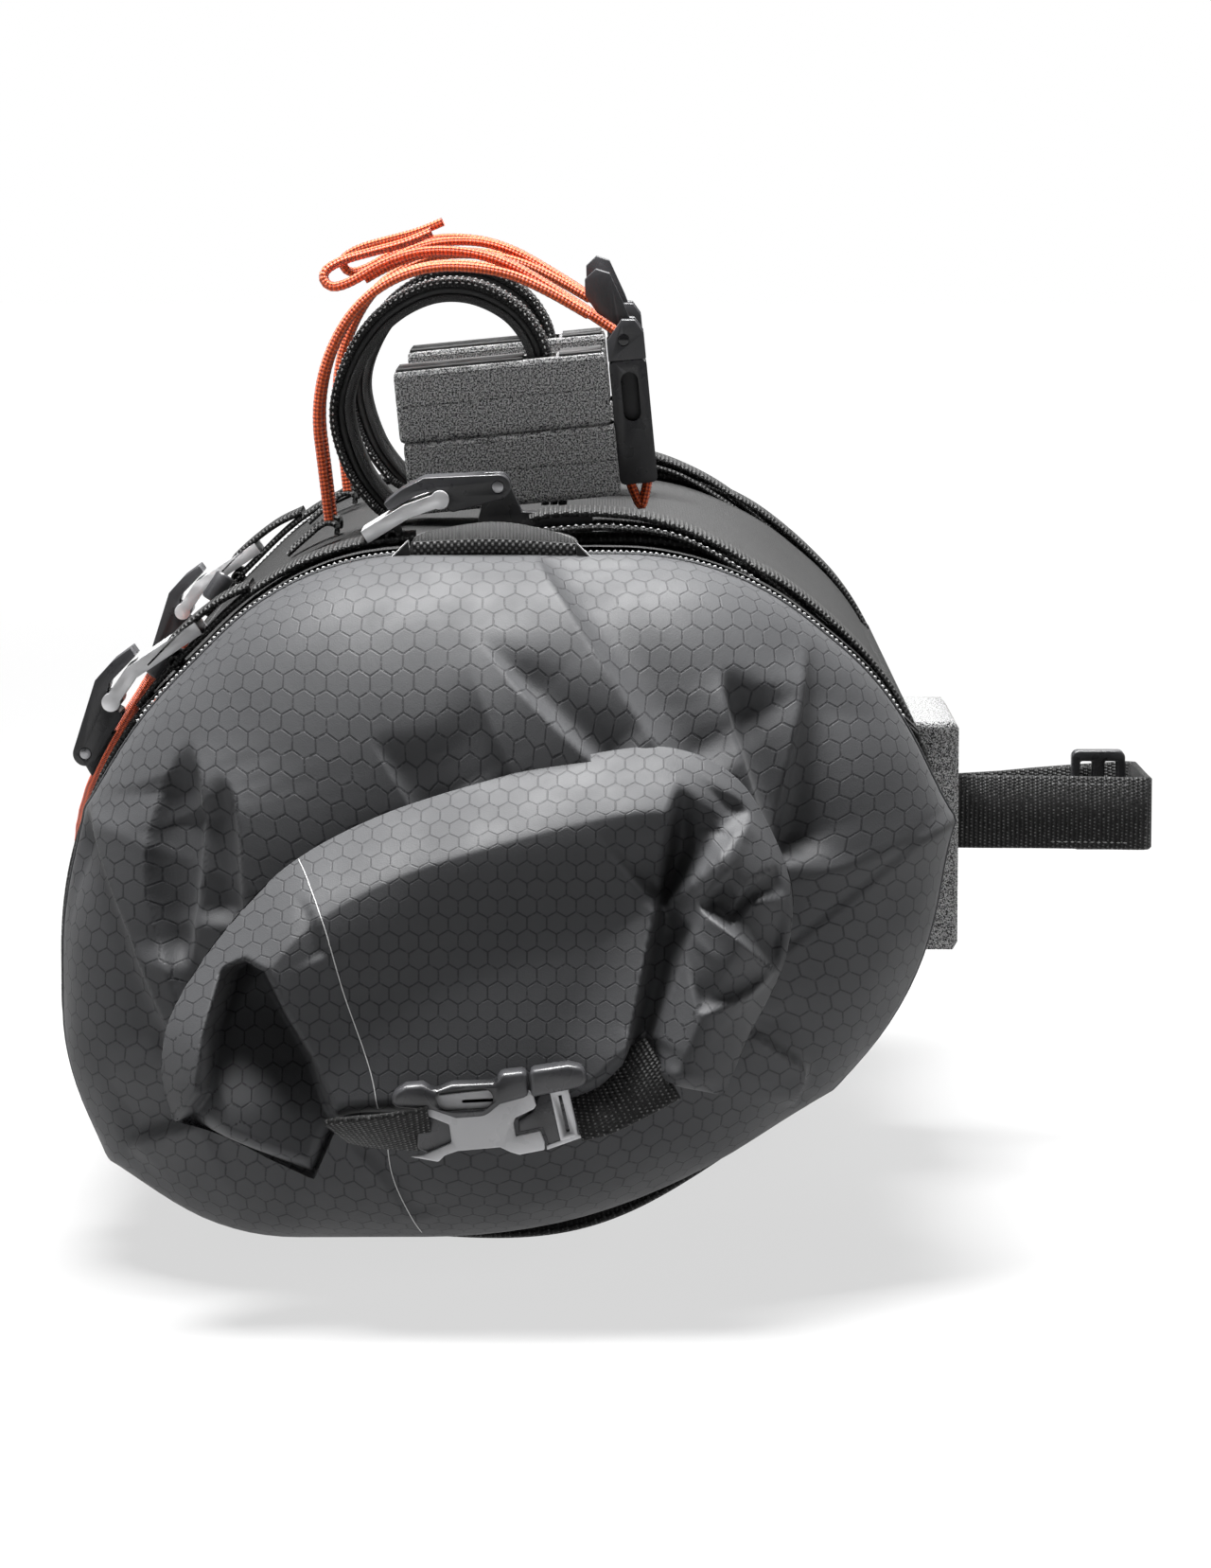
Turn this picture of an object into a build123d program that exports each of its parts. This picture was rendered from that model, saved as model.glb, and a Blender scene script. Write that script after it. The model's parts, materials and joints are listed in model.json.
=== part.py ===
from build123d import *
from math import cos, pi, radians, sin, tan
import os

# Roll-closed bag that hangs under a handlebar or saddle rail. Millimetres, +Z up, the bag's
# length along Y, +X towards the tube that the rear strap goes round. The origin is the middle
# of the seat that the bar lies on, half way between the two foam stacks. The -Y half is "near".

# driving sizes
half_length = 150          # rim to middle of the bag
fabric = 1.4               # coated fabric with its lining
webbing_width = 20
webbing = 2
cord_diameter = 2.6
bungee_diameter = 3.3
slack = 0.3                # air between pieces that only lie next to each other
running_fit = 0.06         # radial clearance of a pin in its hole

# bag section, seen along +Y: corners of the polygon round the egg shape, and their rounding
section_corners = [(-48, -44), (-108.7, -104.7), (-108.7, -187), (-69.5, -217.3),
                   (28.4, -217.3), (112, -161), (112, -88), (59, -44)]
section_radii = [70, 100, 57, 57, 150, 74, 69, 75]
gather_centre = (-4, -138)         # the ends draw together towards this point
bag_top = section_corners[0][1]

# end gathers and rolls
gather_depth = 52
gather_steps = [(0, 1.0), (0.45, 0.9), (0.8, 0.72), (1.0, 0.52)]    # share of the depth, and of the section
gather_reach = 90                  # rough distance from the gather's centre to the rim
roll_start = -half_length - gather_depth - 5
roll_radius = 18
roll_route = [(-61, 68), (-64, 2), (58, -8), (57, 58)]
roll_bend = 34
roll_web = [(-58, 54), (-60, 4), (54, -4), (53, 50)]    # flat front between the roll's two arms
roll_web_thick = 24
roll_plane = Plane(origin=(0, roll_start, -107), x_dir=(1, 0, 0), z_dir=(0, 0.9075, -0.42))

# reinforced back
panel = 1.5
panel_inset = 8                    # from the rim to the panel's edge
panel_x = (-84, 104)
panel_bottom = -88
sleeve_outline = [(-19, -43.9), (20, -43.9), (20, -40.6), (2, -37), (-8, -37), (-19, -40.6)]
sleeve_long = 8
plate = 2                          # stiffening plate inside the bag's top
plate_width = 38
strap_gap = panel + slack          # straps run just over the panel
latch_y = -125                     # the compression straps and their latches
mount_y = -55                      # the foam stacks, bar straps and tensioners

# foam stacks, in a frame leaned by mount_lean
mount_lean = 5.5
stack_width = 56
stack_depth = 30
block_height = 19
block_shift = 0.8                  # the lower block sits this much further right
stack_slot_x = (7, 15.2)           # the bar strap's way through the stack
stack_slot_width = webbing_width + 2

# tensioner, in the same leaned frame
tensioner_left = stack_width / 2 + 0.8
tensioner_thick = 10
tensioner_wide = 24
tensioner_parting = -3
tensioner_floor = -35.5
tensioner_pin = (tensioner_left + 4.5, 2.5)
tensioner_travel = 16

# end closure buckle, in the plane it lies in
buckle_y = -238
buckle_centre = (2, -169)
buckle_tilt = 4
buckle_wide = 23
buckle_thick = 9
buckle_travel = 12

# hook latches: pin place, direction from the pin to the hook, and how far the base stands off
pin_radius = 1.5
latch_wide = 14
hook_thick = 2.2

# rear strap
pad_face_x = 124.4
pad_half = 32
pad_top, pad_bottom = -99.5, -162
rear_end_x = 178
rear_leg_y = 24


def side_plane(y, lean=0.0):
    """Sketch plane seen along +Y: local x is to the right and local y is up."""
    return Plane(origin=(0, y, 0), x_dir=(cos(radians(lean)), 0, sin(radians(lean))), z_dir=(0, -1, 0))


def section_wire(scale=1.0, grow=0.0):
    """Corner points and radii of the bag section, drawn in towards the gather and grown outwards."""
    cx, cz = gather_centre
    points = [(cx + (x - cx) * scale, cz + (z - cz) * scale) for x, z in section_corners]
    return points, [r * scale + grow for r in section_radii]


def finish(piece, name):
    piece.part.label = name
    export_step(piece.part, f"parts/{name}.step")


def finish_pair(piece, name):
    """Write the near piece, and its mirror image at the far end."""
    finish(piece, f"{name}_near")
    with BuildPart() as twin:
        mirror(piece.part, about=Plane.XZ)
    finish(twin, f"{name}_far")


def finish_group(piece, name):
    """Write the near piece and its mirror image as one node."""
    with BuildPart() as group:
        add(piece.part)
        mirror(piece.part, about=Plane.XZ)
    finish(group, name)


def cord_radii(points):
    """Rounding of each corner of a cord's route, as large as its two runs allow."""
    runs = [Vector(b) - Vector(a) for a, b in zip(points, points[1:])]
    return [0.45 * min(a.length, b.length) / tan(radians(a.get_angle(b) / 2)) for a, b in zip(runs, runs[1:])]


def cord_along(name, points, diameter):
    """A plain round tube along straight runs joined by tangent arcs."""
    radii = cord_radii(points)
    with BuildPart() as cord:
        with BuildLine() as route:
            FilletPolyline(*points, radius=radii)
        with BuildSketch(Plane(origin=route.line @ 0, z_dir=route.line % 0)):
            Circle(diameter / 2)
        sweep(transition=Transition.ROUND)
    length = sum(edge.length for edge in route.line.edges())
    expected = pi * diameter**2 / 4 * length
    print(f"{name}: length {length:.1f}, radii {[round(r, 1) for r in radii]},",
          f"volume ratio {cord.part.volume / expected:.3f}")
    return cord


os.makedirs("parts", exist_ok=True)

# ---------------------------------------------------------------- bag
outline_points, outline_radii = section_wire()

with BuildSketch(side_plane(half_length)) as bag_outline:
    with BuildLine():
        FilletPolyline(*outline_points, radius=outline_radii, close=True)
    make_face()

with BuildPart() as bag_solid:
    add(bag_outline.sketch)
    extrude(amount=2 * half_length)

with BuildPart() as bag_tube:
    with BuildSketch(side_plane(half_length)):
        add(bag_outline.sketch_local)
        offset(bag_outline.sketch_local, amount=-fabric, mode=Mode.SUBTRACT)
    extrude(amount=2 * half_length)
finish(bag_tube, "bag_tube")


def gathered(inset):
    """Solid of a gathered end: the section drawn in over three steps towards the roll."""
    with BuildPart() as cone:
        for depth, scale in gather_steps:
            shrink = scale * (1 - inset / gather_reach)
            points, radii = section_wire(shrink)
            with BuildSketch(side_plane(-half_length - depth * (gather_depth - inset))):
                with BuildLine():
                    FilletPolyline(*points, radius=radii, close=True)
                make_face()
        loft()
    return cone


gather_outer = gathered(0)
gather_inner = gathered(fabric)
with BuildPart() as bag_end:
    add(gather_outer.part)
    add(gather_inner.part, mode=Mode.SUBTRACT)
finish_pair(bag_end, "bag_end")

with BuildPart() as stiffener:
    with BuildLine(roll_plane) as stiffener_route:
        FilletPolyline(*roll_route, radius=roll_bend)
    with BuildSketch(Plane(origin=stiffener_route.line @ 0, x_dir=(1, 0, 0), z_dir=stiffener_route.line % 0)):
        Rectangle(webbing, webbing_width)
    sweep()
    add(gather_outer.part, mode=Mode.SUBTRACT)

with BuildPart() as roll:
    with BuildLine(roll_plane) as roll_line:
        FilletPolyline(*roll_route, radius=roll_bend)
    with BuildSketch(Plane(origin=roll_line.line @ 0, z_dir=roll_line.line % 0)):
        Circle(roll_radius)
    sweep()
    with BuildSketch(roll_plane.offset(-roll_web_thick / 2)):
        Polygon(*roll_web, align=None)
    extrude(amount=roll_web_thick)
    add(gather_outer.part, mode=Mode.SUBTRACT)
    add(stiffener.part, mode=Mode.SUBTRACT)
finish_pair(roll, "roll")
finish_group(stiffener, "roll_stiffeners")

# ---------------------------------------------------------------- reinforced back
with BuildPart() as back_panel:
    with BuildSketch(side_plane(half_length - panel_inset)):
        offset(bag_outline.sketch_local, amount=panel)
        add(bag_outline.sketch_local, mode=Mode.SUBTRACT)
        Polygon((panel_x[0], 0), (panel_x[1], 0), (panel_x[1], panel_bottom), (panel_x[0], panel_bottom),
                align=None, mode=Mode.INTERSECT)
    extrude(amount=2 * (half_length - panel_inset))
finish(back_panel, "back_panel")

with BuildPart() as inner_plate:
    with BuildSketch(side_plane(half_length - panel_inset)):
        with Locations((6, bag_top - fabric - plate / 2 - slack / 2)):
            RectangleRounded(plate_width, plate, 0.8)
    extrude(amount=2 * (half_length - panel_inset))
finish(inner_plate, "inner_plate")

with BuildPart() as rim_sleeve:
    with BuildSketch(side_plane(-half_length + sleeve_long - 0.5)):
        Polygon(*sleeve_outline, align=None)
    extrude(amount=sleeve_long)
finish_group(rim_sleeve, "rim_sleeves")

# ---------------------------------------------------------------- foam stacks and bar straps
def envelope(grow):
    """The bag's section grown outwards and run past both rims, to cut feet that sit on it."""
    with BuildPart() as body:
        with BuildSketch(side_plane(half_length)):
            offset(bag_outline.sketch_local, amount=grow)
        extrude(amount=2 * half_length)
    return body.part


bag_skin = envelope(0)
panel_skin = envelope(panel)
strap_skin = envelope(strap_gap + webbing)

for name, top, shift in (("foam_upper", 0, 0), ("foam_lower", -block_height, block_shift)):
    with BuildPart() as block:
        with BuildSketch(side_plane(mount_y + stack_depth / 2, mount_lean)):
            with Locations((shift, top - block_height / 2)):
                Rectangle(stack_width, block_height - 0.05)
        extrude(amount=stack_depth)
        with BuildSketch(side_plane(mount_y + stack_slot_width / 2, mount_lean)):
            with Locations((sum(stack_slot_x) / 2, -block_height)):
                Rectangle(stack_slot_x[1] - stack_slot_x[0], 4 * block_height)
        extrude(amount=stack_slot_width, mode=Mode.SUBTRACT)
    finish_pair(block, name)

# the strap is one closed loop: under the stack, up outside it, over the bar and down the slot
leg_direction = (sin(radians(mount_lean)), -cos(radians(mount_lean)))
arch_outer = [(-31, -42), (-41.5, -28), (-45, -14), (-41.5, 0.5), (-33, 13.2), (-20, 20.8), (-7, 21.3), (4.5, 15.8),
              (11.6, 7.5), (14.2, -1)]
arch_inner = [(-26, -40.6), (-34.5, -28), (-38.6, -13), (-35.5, -1), (-28, 8.8), (-18, 14.6), (-8, 15), (1, 10.8),
              (6.3, 4), (8, -3)]
leg_outer_foot = (18, -40)
leg_inner_foot = (11.7, -40.6)
with BuildPart() as bar_strap:
    with BuildSketch(side_plane(mount_y + webbing_width / 2)):
        with BuildLine():
            Spline(*arch_outer, tangents=[(-0.8, 0.9), leg_direction])
            Polyline(arch_outer[-1], leg_outer_foot, (15.5, -42.3), (-30, -42.3), arch_outer[0])
        make_face()
        with BuildLine():
            Spline(*arch_inner, tangents=[(-0.7, 0.9), leg_direction])
            Polyline(arch_inner[-1], leg_inner_foot, arch_inner[0])
        make_face(mode=Mode.SUBTRACT)
    extrude(amount=webbing_width)
    add(panel_skin, mode=Mode.SUBTRACT)
finish_pair(bar_strap, "bar_strap")

# ---------------------------------------------------------------- tensioners
tensioner_middle = tensioner_left + tensioner_thick / 2
loop_bar = (tensioner_middle, tensioner_floor + 3.4)
loop_bend = 1.5 + cord_diameter / 2 + 0.05
prong_end = tensioner_parting - tensioner_travel
ear_y = (5.2, tensioner_wide / 2)


def lean_box(x, z, y):
    """Box in the leaned frame, from ranges of x, z and y about the mount's middle."""
    with BuildPart() as box:
        with BuildSketch(side_plane(mount_y + y[1], mount_lean)):
            with Locations(((x[0] + x[1]) / 2, (z[0] + z[1]) / 2)):
                Rectangle(x[1] - x[0], z[1] - z[0])
        extrude(amount=y[1] - y[0])
    return box.part


with BuildPart() as tensioner_female:
    add(lean_box((tensioner_left, tensioner_left + tensioner_thick), (tensioner_floor, tensioner_parting),
                 (-tensioner_wide / 2, tensioner_wide / 2)))
    fillet(tensioner_female.edges().filter_by(Axis.Y), 1.6)
    add(lean_box((tensioner_left + 2, tensioner_left + 8), (prong_end - 0.5, tensioner_parting + 1), (-8.6, 8.6)),
        mode=Mode.SUBTRACT)
    with BuildSketch(side_plane(mount_y + 20, mount_lean)):
        with Locations((tensioner_middle, (prong_end + tensioner_parting) / 2 - 1.5)):
            SlotOverall(13, 4.6, rotation=90)
    extrude(amount=40, mode=Mode.SUBTRACT)
    with BuildSketch(side_plane(mount_y + 1.6, mount_lean)):
        with Locations((tensioner_middle, tensioner_floor + 3)):
            Rectangle(2 * loop_bend + cord_diameter + 0.4, 9.6)
        with Locations(loop_bar):
            Circle(1.5, mode=Mode.SUBTRACT)
    extrude(amount=3.2, mode=Mode.SUBTRACT)
finish_pair(tensioner_female, "tensioner_female")

ear_face = [(tensioner_left, 2.5), (tensioner_left + 4.5, 8)]
with BuildPart() as tensioner_male:
    with BuildSketch(side_plane(mount_y + tensioner_wide / 2, mount_lean)):
        Polygon((tensioner_left, tensioner_parting + 0.2), (tensioner_left + 10, tensioner_parting + 0.2),
                (tensioner_left + 10, 4), (tensioner_left + 8, 7.5), ear_face[1], ear_face[0], align=None)
    extrude(amount=tensioner_wide)
    add(lean_box((tensioner_left - 1, tensioner_left + 11), (-1.3, 12), (-ear_y[0], ear_y[0])), mode=Mode.SUBTRACT)
    for side in (-1, 1):
        middle = side * 6.9
        add(lean_box((tensioner_left + 2.3, tensioner_left + 7.7), (prong_end, tensioner_parting + 0.5),
                     (middle - 1.4, middle + 1.4)))
    with BuildSketch(side_plane(mount_y + 20, mount_lean)):
        with Locations(tensioner_pin):
            Circle(pin_radius + 0.02)
    extrude(amount=40, mode=Mode.SUBTRACT)
finish_pair(tensioner_male, "tensioner_male")

with BuildPart() as tensioner_lever:
    with BuildSketch(side_plane(mount_y + ear_y[0] - slack, mount_lean)):
        with Locations(tensioner_pin):
            Circle(3.4)
        Polygon((tensioner_left + 1.2, 3), (tensioner_left - 1.5, 9.5), (tensioner_left - 4.5, 15),
                (tensioner_left - 4.2, 19), (tensioner_left - 1, 21.5), (tensioner_left + 2.5, 20),
                (tensioner_left + 6, 10), (tensioner_left + 7.9, 3), align=None)
        with Locations(tensioner_pin):
            Circle(pin_radius + running_fit, mode=Mode.SUBTRACT)
    extrude(amount=2 * (ear_y[0] - slack))
finish_pair(tensioner_lever, "tensioner_lever")

with BuildPart() as tensioner_axle:
    with BuildSketch(side_plane(mount_y + tensioner_wide / 2, mount_lean)):
        with Locations(tensioner_pin):
            Circle(pin_radius)
    extrude(amount=tensioner_wide)
finish_pair(tensioner_axle, "tensioner_pin")

loop_foot = (tensioner_middle, -41.2)
with BuildPart() as tensioner_loop:
    with BuildLine(side_plane(mount_y, mount_lean)) as loop_line:
        FilletPolyline((loop_foot[0] - 1.6, loop_foot[1]), (loop_bar[0] - loop_bend, loop_bar[1] - 2),
                       (loop_bar[0] - loop_bend, loop_bar[1] + loop_bend),
                       (loop_bar[0] + loop_bend, loop_bar[1] + loop_bend),
                       (loop_bar[0] + loop_bend, loop_bar[1] - 2), (loop_foot[0] + 1.6, loop_foot[1]),
                       radius=[2, loop_bend - 0.1, loop_bend - 0.1, 2])
    with BuildSketch(Plane(origin=loop_line.line @ 0, z_dir=loop_line.line % 0)):
        Circle(cord_diameter / 2)
    sweep(transition=Transition.ROUND)
    add(panel_skin, mode=Mode.SUBTRACT)
finish_group(tensioner_loop, "tensioner_loops")

# ---------------------------------------------------------------- cords
def world_from_lean(x, z):
    turn = radians(mount_lean)
    return x * cos(turn) - z * sin(turn), x * sin(turn) + z * cos(turn)


ear_middle = ((ear_face[0][0] + ear_face[1][0]) / 2, (ear_face[0][1] + ear_face[1][1]) / 2)
cord_exit = world_from_lean(*ear_middle)
strand_end = world_from_lean(ear_middle[0] - 0.8 * slack, ear_middle[1] + 0.6 * slack)
strand_route = [(-45, -43.3), (-46.6, -29), (-48.6, -13), (-45.2, 3), (-36.5, 16.6), (-22.5, 24.6), (-6, 25.2), (10, 21)]
strand_y = (mount_y - 10.2, mount_y + 10.2)
tail_a_route = [(15, -61.2, 18.4), (-2, -60.5, 28), (-19, -60, 29.6), (-31, -59.4, 25.8), (-39.5, -58.6, 20.4),
                (-45.2, -57.4, 18.9), (-47.4, -56, 23), (-42, -55, 26.4), (-32.5, -54.6, 28.9), (-23, -54.4, 31.4),
                (-15.5, -54, 35)]
tail_b_route = [(15, -48.6, 18.4), (-2, -49.2, 28), (-18, -50, 28.8), (-30, -51, 25), (-38.5, -52, 19.6)]

with BuildPart() as cord_anchor:
    with BuildSketch(side_plane(strand_y[1] + 3)):
        Polygon((-48.6, -43.3), (-41.4, -43.3), (-38.4, -52), (-51.6, -56), align=None)
    extrude(amount=strand_y[1] - strand_y[0] + 6)
    add(panel_skin, mode=Mode.SUBTRACT)
finish_group(cord_anchor, "cord_anchors")

strands = [cord_along("tension cord strand", [(x, y, z) for x, z in strand_route + [strand_end]], cord_diameter)
           for y in strand_y]
with BuildPart() as tension_cord:
    for strand in strands:
        add(strand.part)
finish_pair(tension_cord, "tension_cord")

tail_a = cord_along("cord tail a", [(cord_exit[0], mount_y - 6.9, cord_exit[1])] + tail_a_route, cord_diameter)
tail_b = cord_along("cord tail b", [(cord_exit[0], mount_y + 6.9, cord_exit[1])] + tail_b_route, cord_diameter)
with BuildPart() as cord_tails:
    add(tail_a.part)
    add(tail_b.part)
finish_pair(cord_tails, "cord_tails")

# ---------------------------------------------------------------- compression straps
strap_edge_y = latch_y + webbing_width / 2
with BuildPart() as compression_strap:
    with BuildSketch(side_plane(strap_edge_y)):
        offset(bag_outline.sketch_local, amount=strap_gap + webbing)
        offset(bag_outline.sketch_local, amount=strap_gap, mode=Mode.SUBTRACT)
        Polygon((5, 0), (5, -70), (-88, -84), (-130, -97), (-130, 0), align=None, mode=Mode.SUBTRACT)
    extrude(amount=webbing_width)
finish_pair(compression_strap, "compression_strap")

# daisy webbing with a rolled loop under each hook
daisy_loops = [(-25.8, -40.9), (-81.05, -72.95)]
with BuildPart() as hook_loops:
    with BuildSketch(side_plane(strap_edge_y)):
        offset(bag_outline.sketch_local, amount=strap_gap + 1.5)
        offset(bag_outline.sketch_local, amount=strap_gap, mode=Mode.SUBTRACT)
        Polygon((-21, 0), (-21, -60), (-80, -90), (-88, -74), (-88, 0), align=None, mode=Mode.INTERSECT)
        with Locations(*daisy_loops):
            Circle(1.9)
        offset(bag_outline.sketch_local, amount=strap_gap, mode=Mode.SUBTRACT)
    extrude(amount=webbing_width)
finish_group(hook_loops, "hook_loops")


# ---------------------------------------------------------------- hook latches
class Latch:
    """A draw latch seen along +Y: its pin, and the leaning of its lever and of its outward side."""

    def __init__(self, name, pin, angle, outward, hook_end, base):
        self.name, self.pin, self.hook_end, self.base = name, pin, hook_end, base
        self.along = (cos(radians(angle)), sin(radians(angle)))
        self.out = (-outward * self.along[1], outward * self.along[0])

    def at(self, a, b):
        """Point a along the lever from the pin, and b outwards."""
        return (self.pin[0] + a * self.along[0] + b * self.out[0], self.pin[1] + a * self.along[1] + b * self.out[1])

    def outline(self, *points):
        return Polygon(*[self.at(a, b) for a, b in points], align=None)


latches = (
    Latch("top", (0.9, -28.5), 180, -1, (33.2, -12.2),
          [(3, 0), (5, -8), (5, -13), (-24, -13), (-24, -7.5), (-6, -6.5), (-3, 0)]),
    Latch("left", (-104.3, -96.4), 74.8, 1, (38.4, -19.3), [(3, 0), (7, -6), (7, -14), (-8, -14), (-7, -4), (-3, 0)]),
)
hook_pivot = (14.7, -3.1)
hook_eye = 1.7
lug_half = 3
lever_body = [(0, 3.2), (18.7, 2.4), (24.5, -0.6), (29, -4.2), (27.5, -6), (19, -1.3), (13.5, -1.3), (12.5, -5.9),
              (11.5, -6.4), (-1, -3)]

for latch in latches:
    with BuildPart() as base:
        with BuildSketch(side_plane(latch_y + lug_half)):
            latch.outline(*latch.base)
            with Locations(latch.pin):
                Circle(3)
                Circle(pin_radius + 0.02, mode=Mode.SUBTRACT)
        extrude(amount=2 * lug_half)
        add(strap_skin, mode=Mode.SUBTRACT)
    finish_pair(base, f"{latch.name}_latch_base")

    with BuildPart() as lever:
        with BuildSketch(side_plane(latch_y + latch_wide / 2)):
            latch.outline(*lever_body)
            with Locations(latch.pin):
                Circle(3.2)
            with Locations(latch.pin):
                Circle(pin_radius + running_fit, mode=Mode.SUBTRACT)
            with Locations(latch.at(*hook_pivot)):
                Circle(hook_eye + 0.25, mode=Mode.SUBTRACT)
        extrude(amount=latch_wide)
        with BuildSketch(side_plane(latch_y + lug_half + slack)):
            with Locations(latch.pin):
                Circle(3.6)
            latch.outline((-5, 3.4), (3.6, 3.4), (3.6, 0.6), (12, 0.4), (12, -8), (-5, -8))
        extrude(amount=2 * (lug_half + slack), mode=Mode.SUBTRACT)
    finish_pair(lever, f"{latch.name}_latch_lever")

    bend = (23.1, -6)
    with BuildPart() as hook:
        with BuildSketch(side_plane(latch_y + webbing_width / 2)):
            with BuildLine() as hook_line:
                Polyline(latch.at(hook_pivot[0] + 1, hook_pivot[1] - 0.3), latch.at(*bend), latch.at(*latch.hook_end))
            trace(hook_line.line, line_width=hook_thick)
            with Locations(latch.at(*hook_pivot)):
                Circle(hook_eye)
        extrude(amount=webbing_width)
    finish_pair(hook, f"{latch.name}_hook")

with BuildPart() as latch_pins:
    with BuildSketch(side_plane(latch_y + latch_wide / 2)):
        with Locations(*[latch.pin for latch in latches]):
            Circle(pin_radius)
    extrude(amount=latch_wide)
finish_group(latch_pins, "latch_pins")

# ---------------------------------------------------------------- end closure buckles
buckle_plane = Plane(origin=(buckle_centre[0], buckle_y, buckle_centre[1]),
                     x_dir=(cos(radians(buckle_tilt)), 0, sin(radians(buckle_tilt))), z_dir=(0, -1, 0))
half_buckle = buckle_wide / 2
female_x = (-22, 4)
male_x = (4.3, 21.5)


def buckle_box(x, z, thick):
    """Box centred on the buckle's middle plane, from ranges of its own x and z."""
    with BuildPart() as box:
        with BuildSketch(buckle_plane.offset(-thick / 2)):
            with Locations(((x[0] + x[1]) / 2, (z[0] + z[1]) / 2)):
                Rectangle(x[1] - x[0], z[1] - z[0])
        extrude(amount=thick)
    return box.part


with BuildPart() as closure_female:
    add(buckle_box(female_x, (-half_buckle, half_buckle), buckle_thick))
    fillet(closure_female.edges().filter_by(Axis.Y), 2)
    add(buckle_box((female_x[1] - buckle_travel - 1, female_x[1] + 1), (-8.7, 8.7), 5.2), mode=Mode.SUBTRACT)
    add(buckle_box((-7, 0.5), (-half_buckle - 1, half_buckle + 1), 4.4), mode=Mode.SUBTRACT)
    add(buckle_box((-18.5, -14), (-8.5, 8.5), 20), mode=Mode.SUBTRACT)
finish_pair(closure_female, "closure_female")

with BuildPart() as closure_male:
    add(buckle_box(male_x, (-half_buckle, half_buckle), buckle_thick - 2))
    fillet(closure_male.edges().filter_by(Axis.Y), 1.5)
    for low, high in ((8.5, 12), (15, 18.5)):
        add(buckle_box((low, high), (-8.5, 8.5), 20), mode=Mode.SUBTRACT)
    for side in (-1, 1):
        reach = sorted((side * 5, side * 8.2))
        add(buckle_box((female_x[1] - buckle_travel, male_x[0] + 0.5), reach, 4))
finish_pair(closure_male, "closure_male")

for name, reach in (("closure_strap_left", (-50, female_x[0] - 0.1)), ("closure_strap_right", (male_x[1] + 0.1, 52))):
    with BuildPart() as closure_strap:
        add(buckle_box(reach, (-webbing_width / 2, webbing_width / 2), webbing))
        add(roll.part, mode=Mode.SUBTRACT)
    with BuildPart() as strap_piece:
        nearest = closure_strap.solids().sort_by(lambda piece: abs(piece.center().X - buckle_centre[0]))[0]
        add(nearest)
    finish_pair(strap_piece, name)

# ---------------------------------------------------------------- rear strap
leg_skew = 7                        # the far leg leaves the pad this much lower
leg_root_x = 112
near_leg = [(leg_root_x, -114.5), (rear_end_x, -115.5), (rear_end_x, -136), (leg_root_x, -135.5)]
far_leg = [(leg_root_x, near_leg[0][1] - leg_skew), (rear_end_x, -116.5), (rear_end_x, -137),
           (leg_root_x, near_leg[3][1] - leg_skew)]
with BuildPart() as rear_strap:
    for leg, y in ((near_leg, -rear_leg_y), (far_leg, rear_leg_y)):
        with BuildSketch(side_plane(y + webbing / 2)):
            Polygon(*leg, align=None)
        extrude(amount=webbing)
    with BuildSketch(Plane(origin=(rear_end_x, 0, 0), x_dir=(0, 1, 0), z_dir=(1, 0, 0))):
        end_y = rear_leg_y + webbing / 2
        Polygon((-end_y, near_leg[1][1]), (end_y, far_leg[1][1]), (end_y, far_leg[2][1]), (-end_y, near_leg[2][1]),
                align=None)
    extrude(amount=-webbing)
    add(bag_skin, mode=Mode.SUBTRACT)
finish(rear_strap, "rear_strap")

pad_middle = (pad_top + pad_bottom) / 2
with BuildPart() as rear_pad:
    with BuildSketch(Plane(origin=(pad_face_x, 0, pad_middle), x_dir=(0, 1, 0), z_dir=(1, 0, 0))):
        RectangleRounded(2 * pad_half, pad_top - pad_bottom, 6)
        for y, skew in ((-rear_leg_y, 0), (rear_leg_y, -leg_skew + 1)):
            with Locations((y, -125 - pad_middle + skew)):
                Rectangle(webbing + 1.2, 26, mode=Mode.SUBTRACT)
    extrude(amount=-40)
    add(bag_skin, mode=Mode.SUBTRACT)
finish(rear_pad, "rear_pad")

lock_x = (159, 174)
lock_z = (-141, -113)
lock_y = (16, 21)
with BuildPart() as ladder_lock:
    with BuildSketch(side_plane(lock_y[1])):
        with Locations((sum(lock_x) / 2, sum(lock_z) / 2)):
            RectangleRounded(lock_x[1] - lock_x[0], lock_z[1] - lock_z[0], 2)
            with Locations((-3.4, 0), (3.4, 0)):
                Rectangle(3.4, 22, mode=Mode.SUBTRACT)
    extrude(amount=lock_y[1] - lock_y[0])
finish(ladder_lock, "ladder_lock")

with BuildPart() as strap_tail:
    with BuildSketch(side_plane(lock_y[1] + 1.7)):
        Polygon((128, -120), (lock_x[0] + 6, -117.8), (lock_x[0] + 6, -138), (128, -140), align=None)
    extrude(amount=1.5)
finish(strap_tail, "rear_strap_tail")

# ---------------------------------------------------------------- front bungee
front_centre = (-8.7, -146.1)       # middle of the rounding on the bag's front


def on_front(radius, angle, y):
    turn = radians(angle)
    return front_centre[0] - radius * cos(turn), y, front_centre[1] + radius * sin(turn)


bungee_half = [on_front(104.6, 40, -107), on_front(104.4, 27, -104), on_front(104.6, 15, -88), on_front(104.2, 6, -60),
               on_front(103.6, 1, -25)]
bungee_route = bungee_half + [(x, -y, z) for x, y, z in reversed(bungee_half)]
bungee = cord_along("front bungee", bungee_route, bungee_diameter)
finish(bungee, "front_bungee")

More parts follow.
